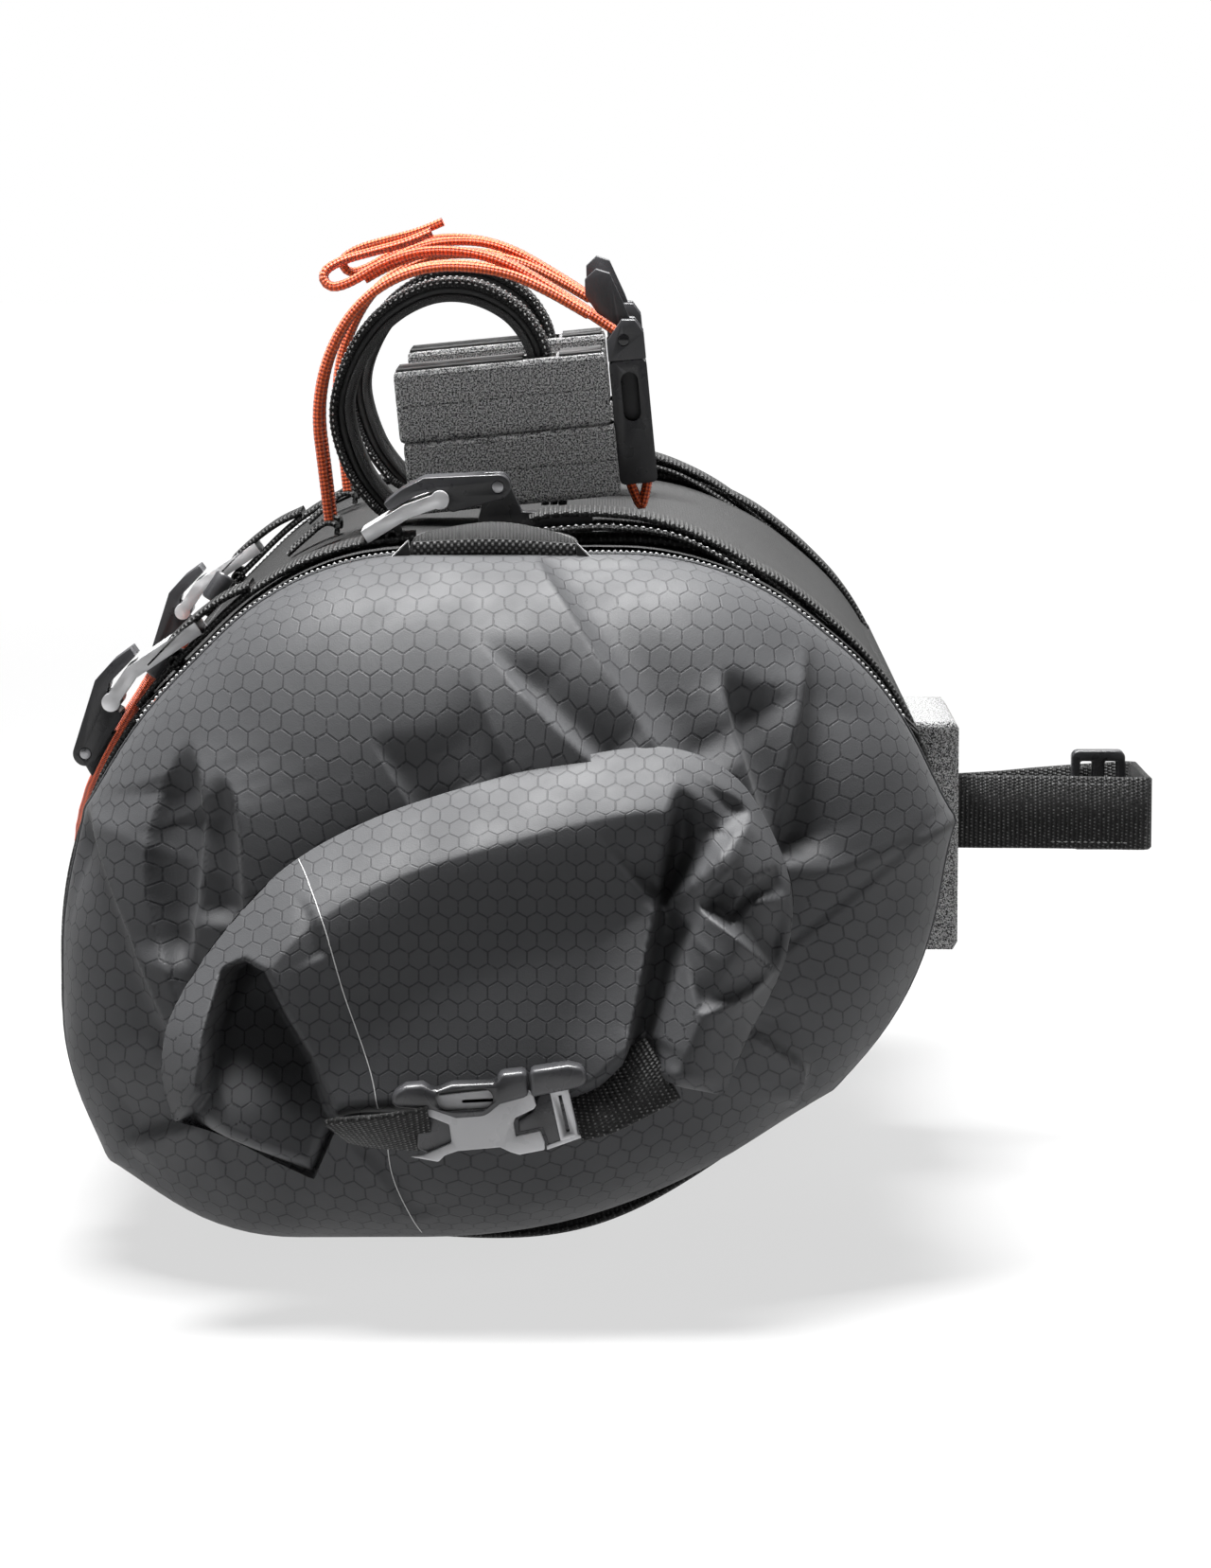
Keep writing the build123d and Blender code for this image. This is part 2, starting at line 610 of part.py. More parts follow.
with BuildPart() as bungee_end:
    start = Vector(bungee_half[0])
    away = (start - Vector(bungee_half[1])).normalized()
    with BuildSketch(Plane(origin=start, z_dir=away)):
        Circle(bungee_diameter / 2 + 1.2)
    extrude(amount=9)
    add(panel_skin, mode=Mode.SUBTRACT)
finish_group(bungee_end, "bungee_ends")
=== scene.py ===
import json
import math
from contextlib import contextmanager

import bmesh
import bpy
import numpy as np
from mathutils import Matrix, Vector, noise
from mathutils.bvhtree import BVHTree

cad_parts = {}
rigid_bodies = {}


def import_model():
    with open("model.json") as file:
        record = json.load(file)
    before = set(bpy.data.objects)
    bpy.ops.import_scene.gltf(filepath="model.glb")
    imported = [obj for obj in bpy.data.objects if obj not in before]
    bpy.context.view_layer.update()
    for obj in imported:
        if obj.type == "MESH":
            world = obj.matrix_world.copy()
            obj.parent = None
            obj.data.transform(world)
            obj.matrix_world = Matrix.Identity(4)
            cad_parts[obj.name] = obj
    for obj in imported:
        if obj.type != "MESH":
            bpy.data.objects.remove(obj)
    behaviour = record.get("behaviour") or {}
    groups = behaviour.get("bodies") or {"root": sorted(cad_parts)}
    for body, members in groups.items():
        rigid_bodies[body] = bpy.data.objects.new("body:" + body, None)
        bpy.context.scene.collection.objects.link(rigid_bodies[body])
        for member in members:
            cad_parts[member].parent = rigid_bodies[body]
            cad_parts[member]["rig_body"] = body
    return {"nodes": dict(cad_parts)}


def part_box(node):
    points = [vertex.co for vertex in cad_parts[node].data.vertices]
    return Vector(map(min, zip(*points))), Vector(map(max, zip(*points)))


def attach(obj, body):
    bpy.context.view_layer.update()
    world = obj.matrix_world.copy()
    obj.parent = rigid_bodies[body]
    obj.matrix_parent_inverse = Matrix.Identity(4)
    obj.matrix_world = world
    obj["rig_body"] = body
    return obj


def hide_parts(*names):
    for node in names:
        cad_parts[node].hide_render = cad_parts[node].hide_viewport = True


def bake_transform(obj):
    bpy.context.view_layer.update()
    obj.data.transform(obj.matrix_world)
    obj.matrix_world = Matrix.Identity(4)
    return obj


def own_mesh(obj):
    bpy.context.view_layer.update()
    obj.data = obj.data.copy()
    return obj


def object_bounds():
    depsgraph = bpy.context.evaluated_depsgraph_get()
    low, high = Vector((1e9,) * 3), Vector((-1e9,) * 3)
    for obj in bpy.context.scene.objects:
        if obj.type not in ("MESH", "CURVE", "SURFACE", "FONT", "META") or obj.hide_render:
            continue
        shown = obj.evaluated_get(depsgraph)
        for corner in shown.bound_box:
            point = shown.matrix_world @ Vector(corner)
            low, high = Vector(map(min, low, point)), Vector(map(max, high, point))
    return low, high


# A roll-closed bag with its straps, foam blocks, cords and buckles. Every place below is in
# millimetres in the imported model's frame: X to the right, Y away from the camera, Z up.
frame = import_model()
cad_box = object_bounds()
MM = 0.001

# driving sizes, the same as the model's
RIM_Y = -150
GATHER = (-4, -138)
WEBBING = 20
CORD = 2.6
BUNGEE = 3.3
LATCH_Y = -125
MOUNT_Y = -55
MOUNT_LEAN = math.radians(5.5)
BLOCK = 19
STACK_X = 28
BUCKLE = (2, -238, -169)
HEX_PITCH = 4.7
ENDS = (("near", 1), ("far", -1))

nodes = frame["nodes"]
scene = bpy.context.scene


# ---------------------------------------------------------------- camera, light and floor
CAMERA_PLACE = (28.15, -1589.19, 74.73)
LOOKS_DOWN = 7
LENS = 132.3
# each light's place, the point it is aimed at and its size, all in metres, and its power
LIGHTS = {
    "top_light": ((-0.12, 0.06, 1.15), (0, -0.12, -0.1), (0.8, 0.45), 78),
    "left_light": ((-1.3, -0.7, 0.45), (0, 0, -0.12), (0.3, 0.8), 2.0),
    "right_light": ((1.5, -0.3, 0.5), (0, 0, -0.1), (0.3, 0.8), 3.0),
    "back_light": ((0.3, 1.8, 0.9), (0, 0, -0.1), (1.2, 0.8), 10),
}
FILL = 0.06  # the surroundings are white to the camera and this bright to everything else
FLOOR_REACH = 6
FLOOR_GAP = 0.0005


def add_camera():
    camera = bpy.data.objects.new("camera", bpy.data.cameras.new("camera"))
    scene.collection.objects.link(camera)
    camera.location = Vector(CAMERA_PLACE) * MM
    camera.rotation_euler = (math.radians(90 - LOOKS_DOWN), 0, 0)
    camera.data.lens = LENS
    camera.data.clip_end = 20
    scene.camera = camera


def add_light(name, place, aim, size, power):
    light = bpy.data.objects.new(name, bpy.data.lights.new(name, "AREA"))
    scene.collection.objects.link(light)
    light.data.shape = "RECTANGLE"
    light.data.size, light.data.size_y = size
    light.data.energy = power
    light.location = place
    light.rotation_euler = (Vector(aim) - Vector(place)).to_track_quat("-Z", "Y").to_euler()


def add_surroundings():
    world = bpy.data.worlds.new("studio")
    scene.world = world
    world.use_nodes = True
    tree = world.node_tree
    background = tree.nodes["Background"]
    background.inputs["Color"].default_value = (1, 1, 1, 1)
    strength = tree.nodes.new("ShaderNodeMapRange")
    tree.links.new(tree.nodes.new("ShaderNodeLightPath").outputs["Is Camera Ray"], strength.inputs["Value"])
    strength.inputs["To Min"].default_value = FILL
    strength.inputs["To Max"].default_value = 1.0
    tree.links.new(strength.outputs[0], background.inputs["Strength"])
    scene.view_settings.view_transform = "Standard"


def add_floor():
    corners = [(-1, -1), (1, -1), (1, 1), (-1, 1)]
    points = [(x * FLOOR_REACH, y * FLOOR_REACH, cad_box[0][2] - FLOOR_GAP) for x, y in corners]
    floor = mesh_object("floor", points, [(0, 1, 2, 3)], scale=1, material=pale_floor())


# ---------------------------------------------------------------- mesh helpers
def mesh_object(name, points, faces, uvs=None, scale=MM, material=None, smooth=True):
    """A mesh from points and faces; uvs holds one (u, v) in millimetres for each point."""
    mesh = bpy.data.meshes.new(name)
    mesh.from_pydata([tuple(float(c) * scale for c in p) for p in points], [], faces)
    if uvs is not None:
        layer = mesh.uv_layers.new(name="UVMap")
        loops = np.zeros(len(mesh.loops), int)
        mesh.loops.foreach_get("vertex_index", loops)
        layer.data.foreach_set("uv", (np.asarray(uvs, float) * scale)[loops].ravel())
    mesh.polygons.foreach_set("use_smooth", [smooth] * len(mesh.polygons))
    mesh.update()
    piece = bpy.data.objects.new(name, mesh)
    scene.collection.objects.link(piece)
    if material:
        mesh.materials.append(material)
    return piece


def grid_faces(rows, columns, wrap=False, flip=False, first=0):
    """Quads of a grid of points stored row by row; wrap joins the last column to the first."""
    faces = []
    for r in range(rows - 1):
        for c in range(columns if wrap else columns - 1):
            d = (c + 1) % columns
            quad = (first + r * columns + c, first + r * columns + d,
                    first + (r + 1) * columns + d, first + (r + 1) * columns + c)
            faces.append(quad[::-1] if flip else quad)
    return faces


def side_of(points, side):
    """The points at the near end, or their mirror image at the far end."""
    return [(x, y * side, z) for x, y, z in points]


def mirrored(faces, side):
    return faces if side > 0 else [f[::-1] for f in faces]


def at_depth(path, y):
    """A path of (x, z) as points at one depth."""
    return [(x, y, z) for x, z in path]


@contextmanager
def editing(source, target=None):
    """A mesh's bmesh, which is then written to the target mesh or back to the same one."""
    mesh = bmesh.new()
    mesh.from_mesh(source)
    yield mesh
    mesh.to_mesh(target or source)
    mesh.free()


def tidy_normals(piece):
    with editing(piece.data) as mesh:
        bmesh.ops.recalc_face_normals(mesh, faces=mesh.faces)
    return piece


def weld(piece, reach):
    with editing(piece.data) as mesh:
        bmesh.ops.remove_doubles(mesh, verts=mesh.verts, dist=reach * MM)


def applied(piece):
    """The piece with its modifiers applied."""
    graph = bpy.context.evaluated_depsgraph_get()
    graph.update()
    mesh = bpy.data.meshes.new_from_object(piece.evaluated_get(graph))
    piece.modifiers.clear()
    piece.data = mesh
    return piece


def rounded(piece, width, segments=2, angle=35):
    """Round the piece's sharp edges."""
    bevel = piece.modifiers.new("bevel", "BEVEL")
    bevel.width = width * MM
    bevel.segments = segments
    bevel.limit_method = "ANGLE"
    bevel.angle_limit = math.radians(angle)
    applied(piece)
    piece.data.polygons.foreach_set("use_smooth", [True] * len(piece.data.polygons))
    return piece


def joined(name, pieces):
    """Several meshes as one piece."""
    bpy.ops.object.select_all(action="DESELECT")
    for piece in pieces:
        piece.select_set(True)
    bpy.context.view_layer.objects.active = pieces[0]
    bpy.ops.object.join()
    pieces[0].name = name
    pieces[0].data.name = name
    return pieces[0]


def smooth_step(x):
    x = np.clip(x, 0, 1)
    return x * x * (3 - 2 * x)


def unit(v):
    return v / np.maximum(np.linalg.norm(v, axis=-1, keepdims=True), 1e-9)


def distances(line):
    """How far along a line each of its points lies."""
    steps = np.linalg.norm(np.diff(np.asarray(line, float), axis=0), axis=1)
    return np.concatenate([[0], np.cumsum(steps)])


def curve_points(points, count):
    """Evenly spaced points on the smooth curve through these points, in any number of dimensions."""
    p = np.asarray(points, float)
    p = np.vstack([2 * p[0] - p[1], p, 2 * p[-1] - p[-2]])
    fine = []
    for a, b, c, d in zip(p, p[1:], p[2:], p[3:]):
        for t in np.linspace(0, 1, 24, endpoint=False):
            fine.append(0.5 * (2 * b + (c - a) * t + (2 * a - 5 * b + 4 * c - d) * t**2
                               + (3 * b - a - 3 * c + d) * t**3))
    fine.append(p[-2])
    fine = np.array(fine)
    lengths = distances(fine)
    at = np.linspace(0, lengths[-1], count)
    return np.column_stack([np.interp(at, lengths, fine[:, k]) for k in range(fine.shape[1])])


def swept(name, points, uvs, rows, around, material, caps=True):
    """A closed profile's points, given row by row along a path, as one piece."""
    faces = grid_faces(rows, around, wrap=True)
    if caps:
        faces.append(tuple(range(around)))
        faces.append(tuple(range((rows - 1) * around, rows * around))[::-1])
    return mesh_object(name, points, faces, uvs, material=material)


UPPER_SIDE = 40  # the weave on a strap's upper side starts this far from that on its lower side


def ribbon(name, path, across, width, thick, material, count=80):
    """A flat strap along a path. across is the direction of its width, one for all or one a point."""
    line = curve_points(path, count)
    forward = unit(np.gradient(line, axis=0))
    across = np.asarray(across, float)
    across = curve_points(across, count) if across.ndim == 2 else np.repeat(across[None], count, axis=0)
    across = unit(across - (across * forward).sum(1, keepdims=True) * forward)
    up = np.cross(forward, across)
    half, edge = thick / 2, min(thick * 0.35, 0.6)
    lower = [(-width / 2, edge - half), (edge - width / 2, -half), (width / 2 - edge, -half),
             (width / 2, edge - half)]
    profile = lower + [(w, -height) for w, height in lower[::-1]]
    points, uvs = [], []
    for k, gone in enumerate(distances(line)):
        for w, height in profile:
            points.append(line[k] + across[k] * w + up[k] * height)
            uvs.append((gone, w + (UPPER_SIDE if height > 0 else 0)))
    return swept(name, points, uvs, count, len(profile), material)


def tube(name, path, radius, material, around=10, caps=True):
    """A round tube along points that are close together; radius may be one number or one a point."""
    line = np.asarray(path, float)
    forward = unit(np.gradient(line, axis=0))
    up = np.array([0.0, 0.0, 1.0]) if abs(forward[0][2]) < 0.9 else np.array([1.0, 0, 0])
    radii = np.broadcast_to(radius, len(line))
    points, uvs = [], []
    for k, gone in enumerate(distances(line)):
        up = unit(up - forward[k] * (up @ forward[k]))
        across = np.cross(forward[k], up)
        for j in range(around):
            a = 2 * math.pi * j / around
            points.append(line[k] + radii[k] * (math.cos(a) * up + math.sin(a) * across))
            uvs.append((gone, j))
    return swept(name, points, uvs, len(line), around, material, caps)


def prism(name, outline, y0, y1, material, bevel=0.2):
    """An outline in (x, z) run from y0 to y1, with rounded edges."""
    count = len(outline)
    faces = [tuple(range(count)), tuple(range(count, 2 * count))[::-1]]
    faces += [(k, k + count, (k + 1) % count + count, (k + 1) % count) for k in range(count)]
    piece = mesh_object(name, at_depth(outline, y0) + at_depth(outline, y1), faces, material=material,
                        smooth=False)
    tidy_normals(piece)
    return rounded(piece, bevel) if bevel else piece


def cut(piece, tool):
    """Take the tool's shape out of the piece."""
    boolean = piece.modifiers.new("cut", "BOOLEAN")
    boolean.operation = "DIFFERENCE"
    boolean.solver = "EXACT"
    boolean.object = tool
    applied(piece)
    bpy.data.objects.remove(tool)
    return piece


def place(piece, body, slot, *replaced):
    """Let the piece ride on its body and stand for CAD nodes, which are hidden; slot is not used."""
    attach(piece, body)
    if replaced:
        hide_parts(*replaced)
    return piece


# ---------------------------------------------------------------- shader helpers
class Shader:
    """A material's node tree, with short ways to add and join nodes."""

    def __init__(self, name, colour, roughness, metallic=0.0, sheen=0.0, specular=0.5):
        self.material = bpy.data.materials.new(name)
        self.material.use_nodes = True
        self.tree = self.material.node_tree
        self.bsdf = self.tree.nodes["Principled BSDF"]
        self.bsdf.inputs["Base Color"].default_value = (*colour, 1)
        self.bsdf.inputs["Roughness"].default_value = roughness
        self.bsdf.inputs["Metallic"].default_value = metallic
        self.bsdf.inputs["Sheen Weight"].default_value = sheen
        self.bsdf.inputs["Specular IOR Level"].default_value = specular

    def add(self, kind, **settings):
        node = self.tree.nodes.new(kind)
        for key, value in settings.items():
            setattr(node, key, value)
        return node

    def put(self, socket, value):
        if hasattr(value, "links"):
            self.tree.links.new(value, socket)
        else:
            socket.default_value = value

    def fill(self, node, values):
        for socket, value in zip(node.inputs, values):
            self.put(socket, value)
        return node.outputs

    def math(self, operation, *values):
        return self.fill(self.add("ShaderNodeMath", operation=operation), values)[0]

    def times(self, first, second):
        return self.math("MULTIPLY", first, second)

    def plus(self, first, second):
        return self.math("ADD", first, second)

    def vector(self, operation, *values):
        outputs = self.fill(self.add("ShaderNodeVectorMath", operation=operation), values)
        return outputs["Value" if operation in ("DOT_PRODUCT", "LENGTH") else 0]

    def ramp(self, value, low, high, to_low=0.0, to_high=1.0, kind="SMOOTHSTEP"):
        node = self.add("ShaderNodeMapRange", interpolation_type=kind)
        return self.fill(node, (value, low, high, to_low, to_high))[0]

    def coords(self, kind="Object"):
        return self.add("ShaderNodeTexCoord").outputs[kind]

    def noise(self, scale, detail=2.0, coords=None, roughness=0.5):
        node = self.add("ShaderNodeTexNoise")
        self.put(node.inputs["Vector"], coords or self.coords())
        node.inputs["Scale"].default_value = scale
        node.inputs["Detail"].default_value = detail
        node.inputs["Roughness"].default_value = roughness
        return node.outputs["Fac"]

    def mix(self, factor, first, second):
        node = self.add("ShaderNodeMix", data_type="RGBA")
        self.put(node.inputs["Factor"], factor)
        for socket, colour in ((node.inputs["A"], first), (node.inputs["B"], second)):
            self.put(socket, (*colour, 1) if isinstance(colour, tuple) else colour)
        return node.outputs["Result"]

    def colour(self, value):
        self.put(self.bsdf.inputs["Base Color"], value)

    def roughness(self, value):
        self.put(self.bsdf.inputs["Roughness"], value)

    def bump(self, height, distance, strength):
        node = self.add("ShaderNodeBump")
        node.inputs["Strength"].default_value = strength
        node.inputs["Distance"].default_value = distance * MM
        self.put(node.inputs["Height"], height)
        self.tree.links.new(node.outputs[0], self.bsdf.inputs["Normal"])


def split(shader, vector):
    return shader.fill(shader.add("ShaderNodeSeparateXYZ"), [vector])


def hexagon_lines(shader):
    """How far a point lies inside its hexagon: 0 on the ripstop lines, from the mesh's own UV in metres."""
    half = (0.5, math.sqrt(3) / 2, 1)
    uv = shader.vector("SCALE", shader.coords("UV"))
    uv.node.inputs["Scale"].default_value = 1 / (HEX_PITCH * MM)
    low = tuple(-h for h in half)
    first = shader.vector("WRAP", uv, half, low)
    second = shader.vector("WRAP", shader.vector("SUBTRACT", uv, (0.5, half[1], 0)), half, low)
    nearer = shader.math("LESS_THAN", shader.vector("DOT_PRODUCT", first, first),
                         shader.vector("DOT_PRODUCT", second, second))
    pick = shader.add("ShaderNodeMix", data_type="VECTOR")
    shader.put(pick.inputs["Factor"], nearer)
    shader.put(pick.inputs[4], second)
    shader.put(pick.inputs[5], first)
    size = shader.vector("ABSOLUTE", pick.outputs[1])
    slope = shader.vector("DOT_PRODUCT", size, (*half[:2], 0))
    return shader.math("SUBTRACT", 0.5, shader.math("MAXIMUM", slope, split(shader, size)[0]))


def coated_fabric():
    shader = Shader("coated_fabric", (0.045, 0.046, 0.05), 0.65, sheen=0.04, specular=0.3)
    edge = hexagon_lines(shader)
    line = shader.ramp(edge, 0.016, 0.066, 1.0, 0.0)
    broken = shader.ramp(shader.noise(900, 2), 0.36, 0.5)
    line = shader.times(line, shader.ramp(broken, 0, 1, 0.45, 1.0, "LINEAR"))
    pillow = shader.ramp(edge, 0.0, 0.3)
    cloudy = shader.noise(38, 3)
    base = shader.mix(cloudy, (0.037, 0.0375, 0.04), (0.05, 0.051, 0.054))
    shader.colour(shader.mix(shader.times(line, 0.85), base, (0.009, 0.009, 0.011)))
    shader.roughness(shader.ramp(shader.noise(55, 4), 0.3, 0.7, 0.58, 0.7))
    grain = shader.noise(2600, 2)
    height = shader.plus(shader.times(line, 0.55), shader.times(pillow, 0.2))
    shader.bump(shader.plus(height, shader.times(grain, 0.35)), 0.14, 0.8)
    return shader.material


def woven_fabric(name, tone, pitch=1.1, light=0.05):
    """Plain-woven fabric with raised threads, from the mesh's own UV in metres. The threads' tops are painted
    lighter, a painted highlight.
    """
    shader = Shader(name, (tone, tone, tone), 0.65, sheen=0.02, specular=0.3)
    u, v, _ = split(shader, shader.coords("UV"))
    step = 2 * math.pi / (pitch * MM)
    across = shader.math("SINE", shader.times(u, step))
    along = shader.math("SINE", shader.times(v, step))
    weave = shader.times(across, along)
    # painted highlight: the raised tops of the threads take the lighter colour
    shader.colour(shader.mix(shader.ramp(weave, 0.0, 0.7), (tone, tone, tone), (light, light, light)))
    shader.bump(shader.plus(weave, shader.noise(900)), 0.2, 0.7)
    return shader.material


def strap_fabric(name, dark, light, rib=1.25, thread=0.9):
    """Webbing: ribs across the strap, each made of short threads, whose tops are painted lighter as a painted
    highlight. u runs along the strap, v across.
    """
    shader = Shader(name, (dark, dark, dark), 0.6, sheen=0.03, specular=0.3)
    u, v, _ = split(shader, shader.coords("UV"))
    ribs = shader.math("SINE", shader.times(u, 2 * math.pi / (rib * MM)))
    shift = shader.times(shader.math("FLOOR", shader.math("DIVIDE", u, rib * MM)), math.pi)
    threads = shader.math("SINE", shader.plus(shader.times(v, 2 * math.pi / (thread * MM)), shift))
    # painted highlight: the tops of the ribs and threads take the lighter colour, broken up by noise
    top = shader.times(shader.ramp(ribs, -0.2, 0.9), shader.ramp(threads, -0.5, 0.8))
    tone = shader.times(top, shader.ramp(shader.noise(1500, 2), 0.4, 0.62))
    shader.colour(shader.mix(tone, (dark, dark, dark), (light, light, light)))
    shader.bump(shader.plus(shader.times(ribs, 0.6), shader.times(threads, 0.3)), 0.3, 0.8)
    return shader.material


CORD_SIDES = 10
STRANDS = 4


def braided(name, colour, light, pitch):
    """Round braided cord: u runs along it in metres, v counts the points around it. Its strands' crests are
    painted lighter and the gaps between them darker: painted highlight and painted shade.
    """
    shader = Shader(name, colour, 0.55, sheen=0.3)
    u, v, _ = split(shader, shader.coords("UV"))
    along = shader.times(u, 2 * math.pi / (pitch * MM))
    around = shader.times(v, 2 * math.pi * STRANDS / (CORD_SIDES * MM))
    first = shader.math("SINE", shader.plus(along, around))
    second = shader.math("SINE", shader.math("SUBTRACT", along, around))
    weave = shader.times(first, second)
    # painted shade in the gaps between strands, at 0.4 of the colour, and painted highlight on their crests
    shader.colour(shader.mix(shader.ramp(weave, -0.6, 0.7), tuple(c * 0.4 for c in colour), light))
    shader.bump(weave, 0.22, 0.8)
    return shader.material


def speckled_foam():
    shader = Shader("foam", (0.1, 0.1, 0.1), 0.85)
    grain = shader.noise(2100, 3, roughness=0.7)
    fine = shader.noise(5200, 2)
    mixed = shader.plus(shader.times(grain, 0.65), shader.times(fine, 0.35))
    tone = shader.ramp(mixed, 0.46, 0.55)
    shader.colour(shader.mix(tone, (0.012, 0.012, 0.013), (0.5, 0.5, 0.5)))
    shader.bump(mixed, 0.7, 0.9)
    return shader.material


def moulded(name, colour, roughness, grain=0.05, edge_highlight_gain=1.6):
    """Moulded plastic: fine spark-eroded grain, with sharp edges made lighter as a painted highlight."""
    shader = Shader(name, colour, roughness)
    # painted highlight: the colour is lighter along sharp convex edges, found from the mesh's pointiness
    edge_highlight = shader.ramp(shader.add("ShaderNodeNewGeometry").outputs["Pointiness"], 0.5, 0.58)
    highlight_colour = tuple(min(1, c * edge_highlight_gain + 0.01) for c in colour)
    shader.colour(shader.mix(edge_highlight, colour, highlight_colour))
    shader.roughness(shader.ramp(shader.noise(160, 3), 0.3, 0.7, roughness * 0.85, roughness * 1.2))
    shader.bump(shader.noise(4200, 2), grain, 0.6)
    return shader.material


def brushed(name, colour, roughness, metallic=1.0):
    shader = Shader(name, colour, roughness, metallic=metallic)
    x, y, z = split(shader, shader.coords())
    stretched = shader.fill(shader.add("ShaderNodeCombineXYZ"),
                            (shader.times(x, 0.05), y, shader.times(z, 0.05)))
    scratches = shader.noise(5200, 3, coords=stretched[0])
    shader.roughness(shader.ramp(scratches, 0.3, 0.7, roughness * 0.7, roughness * 1.4))
    shader.bump(scratches, 0.03, 0.5)
    return shader.material


def sewing_thread(name, tone):
    shader = Shader(name, (tone, tone, tone), 0.6, sheen=0.3)
    shader.bump(shader.noise(6000, 1), 0.05, 0.5)
    return shader.material


def pale_floor():
    """Pale all over: it glows more where the light above doesn't reach it."""
    shader = Shader("pale_floor", (0.12, 0.12, 0.12), 0.8)
    away = shader.vector("LENGTH", shader.coords())
    glow = shader.ramp(away, 0.5, 2.6, 0.66, 1.0)
    shader.bsdf.inputs["Emission Color"].default_value = (1, 1, 1, 1)
    shader.put(shader.bsdf.inputs["Emission Strength"], glow)
    return shader.material


FABRIC = coated_fabric()
# the lighter colour given to each woven fabric, webbing and cord below is a painted highlight on its thread
# tops; the cords also get painted shade between strands
PANEL = woven_fabric("panel_fabric", 0.007, 1.6, 0.03)
SLEEVE = woven_fabric("sleeve_fabric", 0.018, 1.7, 0.2)
STRAP = strap_fabric("webbing", 0.003, 0.13)
FASTENING = strap_fabric("fastening_webbing", 0.007, 0.09, rib=0.8, thread=0.8)
LOOP_PILE = woven_fabric("loop_pile", 0.03, 0.7, 0.12)
ORANGE_CORD = braided("orange_cord", (0.78, 0.06, 0.004), (1.0, 0.14, 0.015), pitch=2.1)
ORANGE_ELASTIC = braided("orange_elastic", (0.78, 0.06, 0.004), (0.95, 0.12, 0.012), pitch=1.0)
FOAM = speckled_foam()
FOAM_SKIN = moulded("foam_skin", (0.012, 0.012, 0.012), 0.6, grain=0.4)
# a strong painted highlight on its sharp edges, four times its own colour
BLACK = moulded("black_plastic", (0.011, 0.011, 0.012), 0.3, grain=0.08, edge_highlight_gain=4)
GLOSSY = moulded("glossy_plastic", (0.008, 0.008, 0.009), 0.14, grain=0.01)
# painted reflection: a light grey colour for the buckle's plate, bar and rail stands in for the bright
# surroundings their satin faces reflect
REFLECTION_GREY = moulded("buckle_plastic", (0.34, 0.34, 0.35), 0.3)
ALUMINIUM = brushed("aluminium", (0.72, 0.72, 0.73), 0.4, metallic=0.7)
STEEL = brushed("steel", (0.35, 0.35, 0.36), 0.35)
THREAD = sewing_thread("thread", 0.5)
DARK_THREAD = sewing_thread("dark_thread", 0.2)
DARK = sewing_thread("dark_lining", 0.006)


def strap(name, path, width, thick, *replaced, across=(0, 1, 0), count=80):
    """A webbing that rides on the bag."""
    return place(ribbon(name, path, across, width, thick, STRAP, count), "bag", "webbing", *replaced)



# ---------------------------------------------------------------- the bag's section
def tree_of(piece):
    mesh = piece.data
    return BVHTree.FromPolygons([v.co for v in mesh.vertices], [tuple(p.vertices) for p in mesh.polygons])


AROUND = 480
ANGLES = np.arange(AROUND) * 2 * math.pi / AROUND


def section_outline():
    """The bag's outline in (x, z), found by looking at the tube from all sides."""
    tube_tree = tree_of(nodes["bag_tube"])
    found = []
    for angle in ANGLES:
        away = Vector((math.cos(angle), 0, math.sin(angle)))
        start = (Vector((GATHER[0], 0, GATHER[1])) + away * 250) * MM
        hit = tube_tree.ray_cast(start, -away)[0] / MM
        found.append((hit.x, hit.z))
    return np.array(found)


OUTLINE = section_outline()
CENTRE = np.array(GATHER, float)
PERIMETER = distances(OUTLINE)
AHEAD, BEHIND = np.roll(OUTLINE, -1, axis=0), np.roll(OUTLINE, 1, axis=0)
OUTWARD = unit(np.column_stack([AHEAD[:, 1] - BEHIND[:, 1], BEHIND[:, 0] - AHEAD[:, 0]]))
MEAN_RADIUS = 95


def angle_of(x, z):
    return math.atan2(z - GATHER[1], x - GATHER[0]) % (2 * math.pi)


def on_section(x, z, offset):
    """The point of the section in the direction of (x, z), moved outwards by offset, as (x, z)."""
    index = angle_of(x, z) / (2 * math.pi) * AROUND
    low = int(index) % AROUND
    part = index - int(index)
    point = OUTLINE[low] * (1 - part) + OUTLINE[(low + 1) % AROUND] * part
    return point + OUTWARD[low] * offset


# pointed corners of the rim, where the flattened mouth's folds begin: place and height
EARS = [((117.5, -110), 5.0, 7), ((-103, -108), 1.6, 6), ((-95, -195), 3.0, 7), ((79, -176), 1.2, 6)]


def rim_outline():
    rim = OUTLINE.copy()
    for (x, z), height, width in EARS:
        arc = np.abs((ANGLES - angle_of(x, z) + math.pi) % (2 * math.pi) - math.pi) * MEAN_RADIUS
        rim += OUTWARD * (height * np.exp(-arc / width))[:, None]
    return rim


RIM = rim_outline()


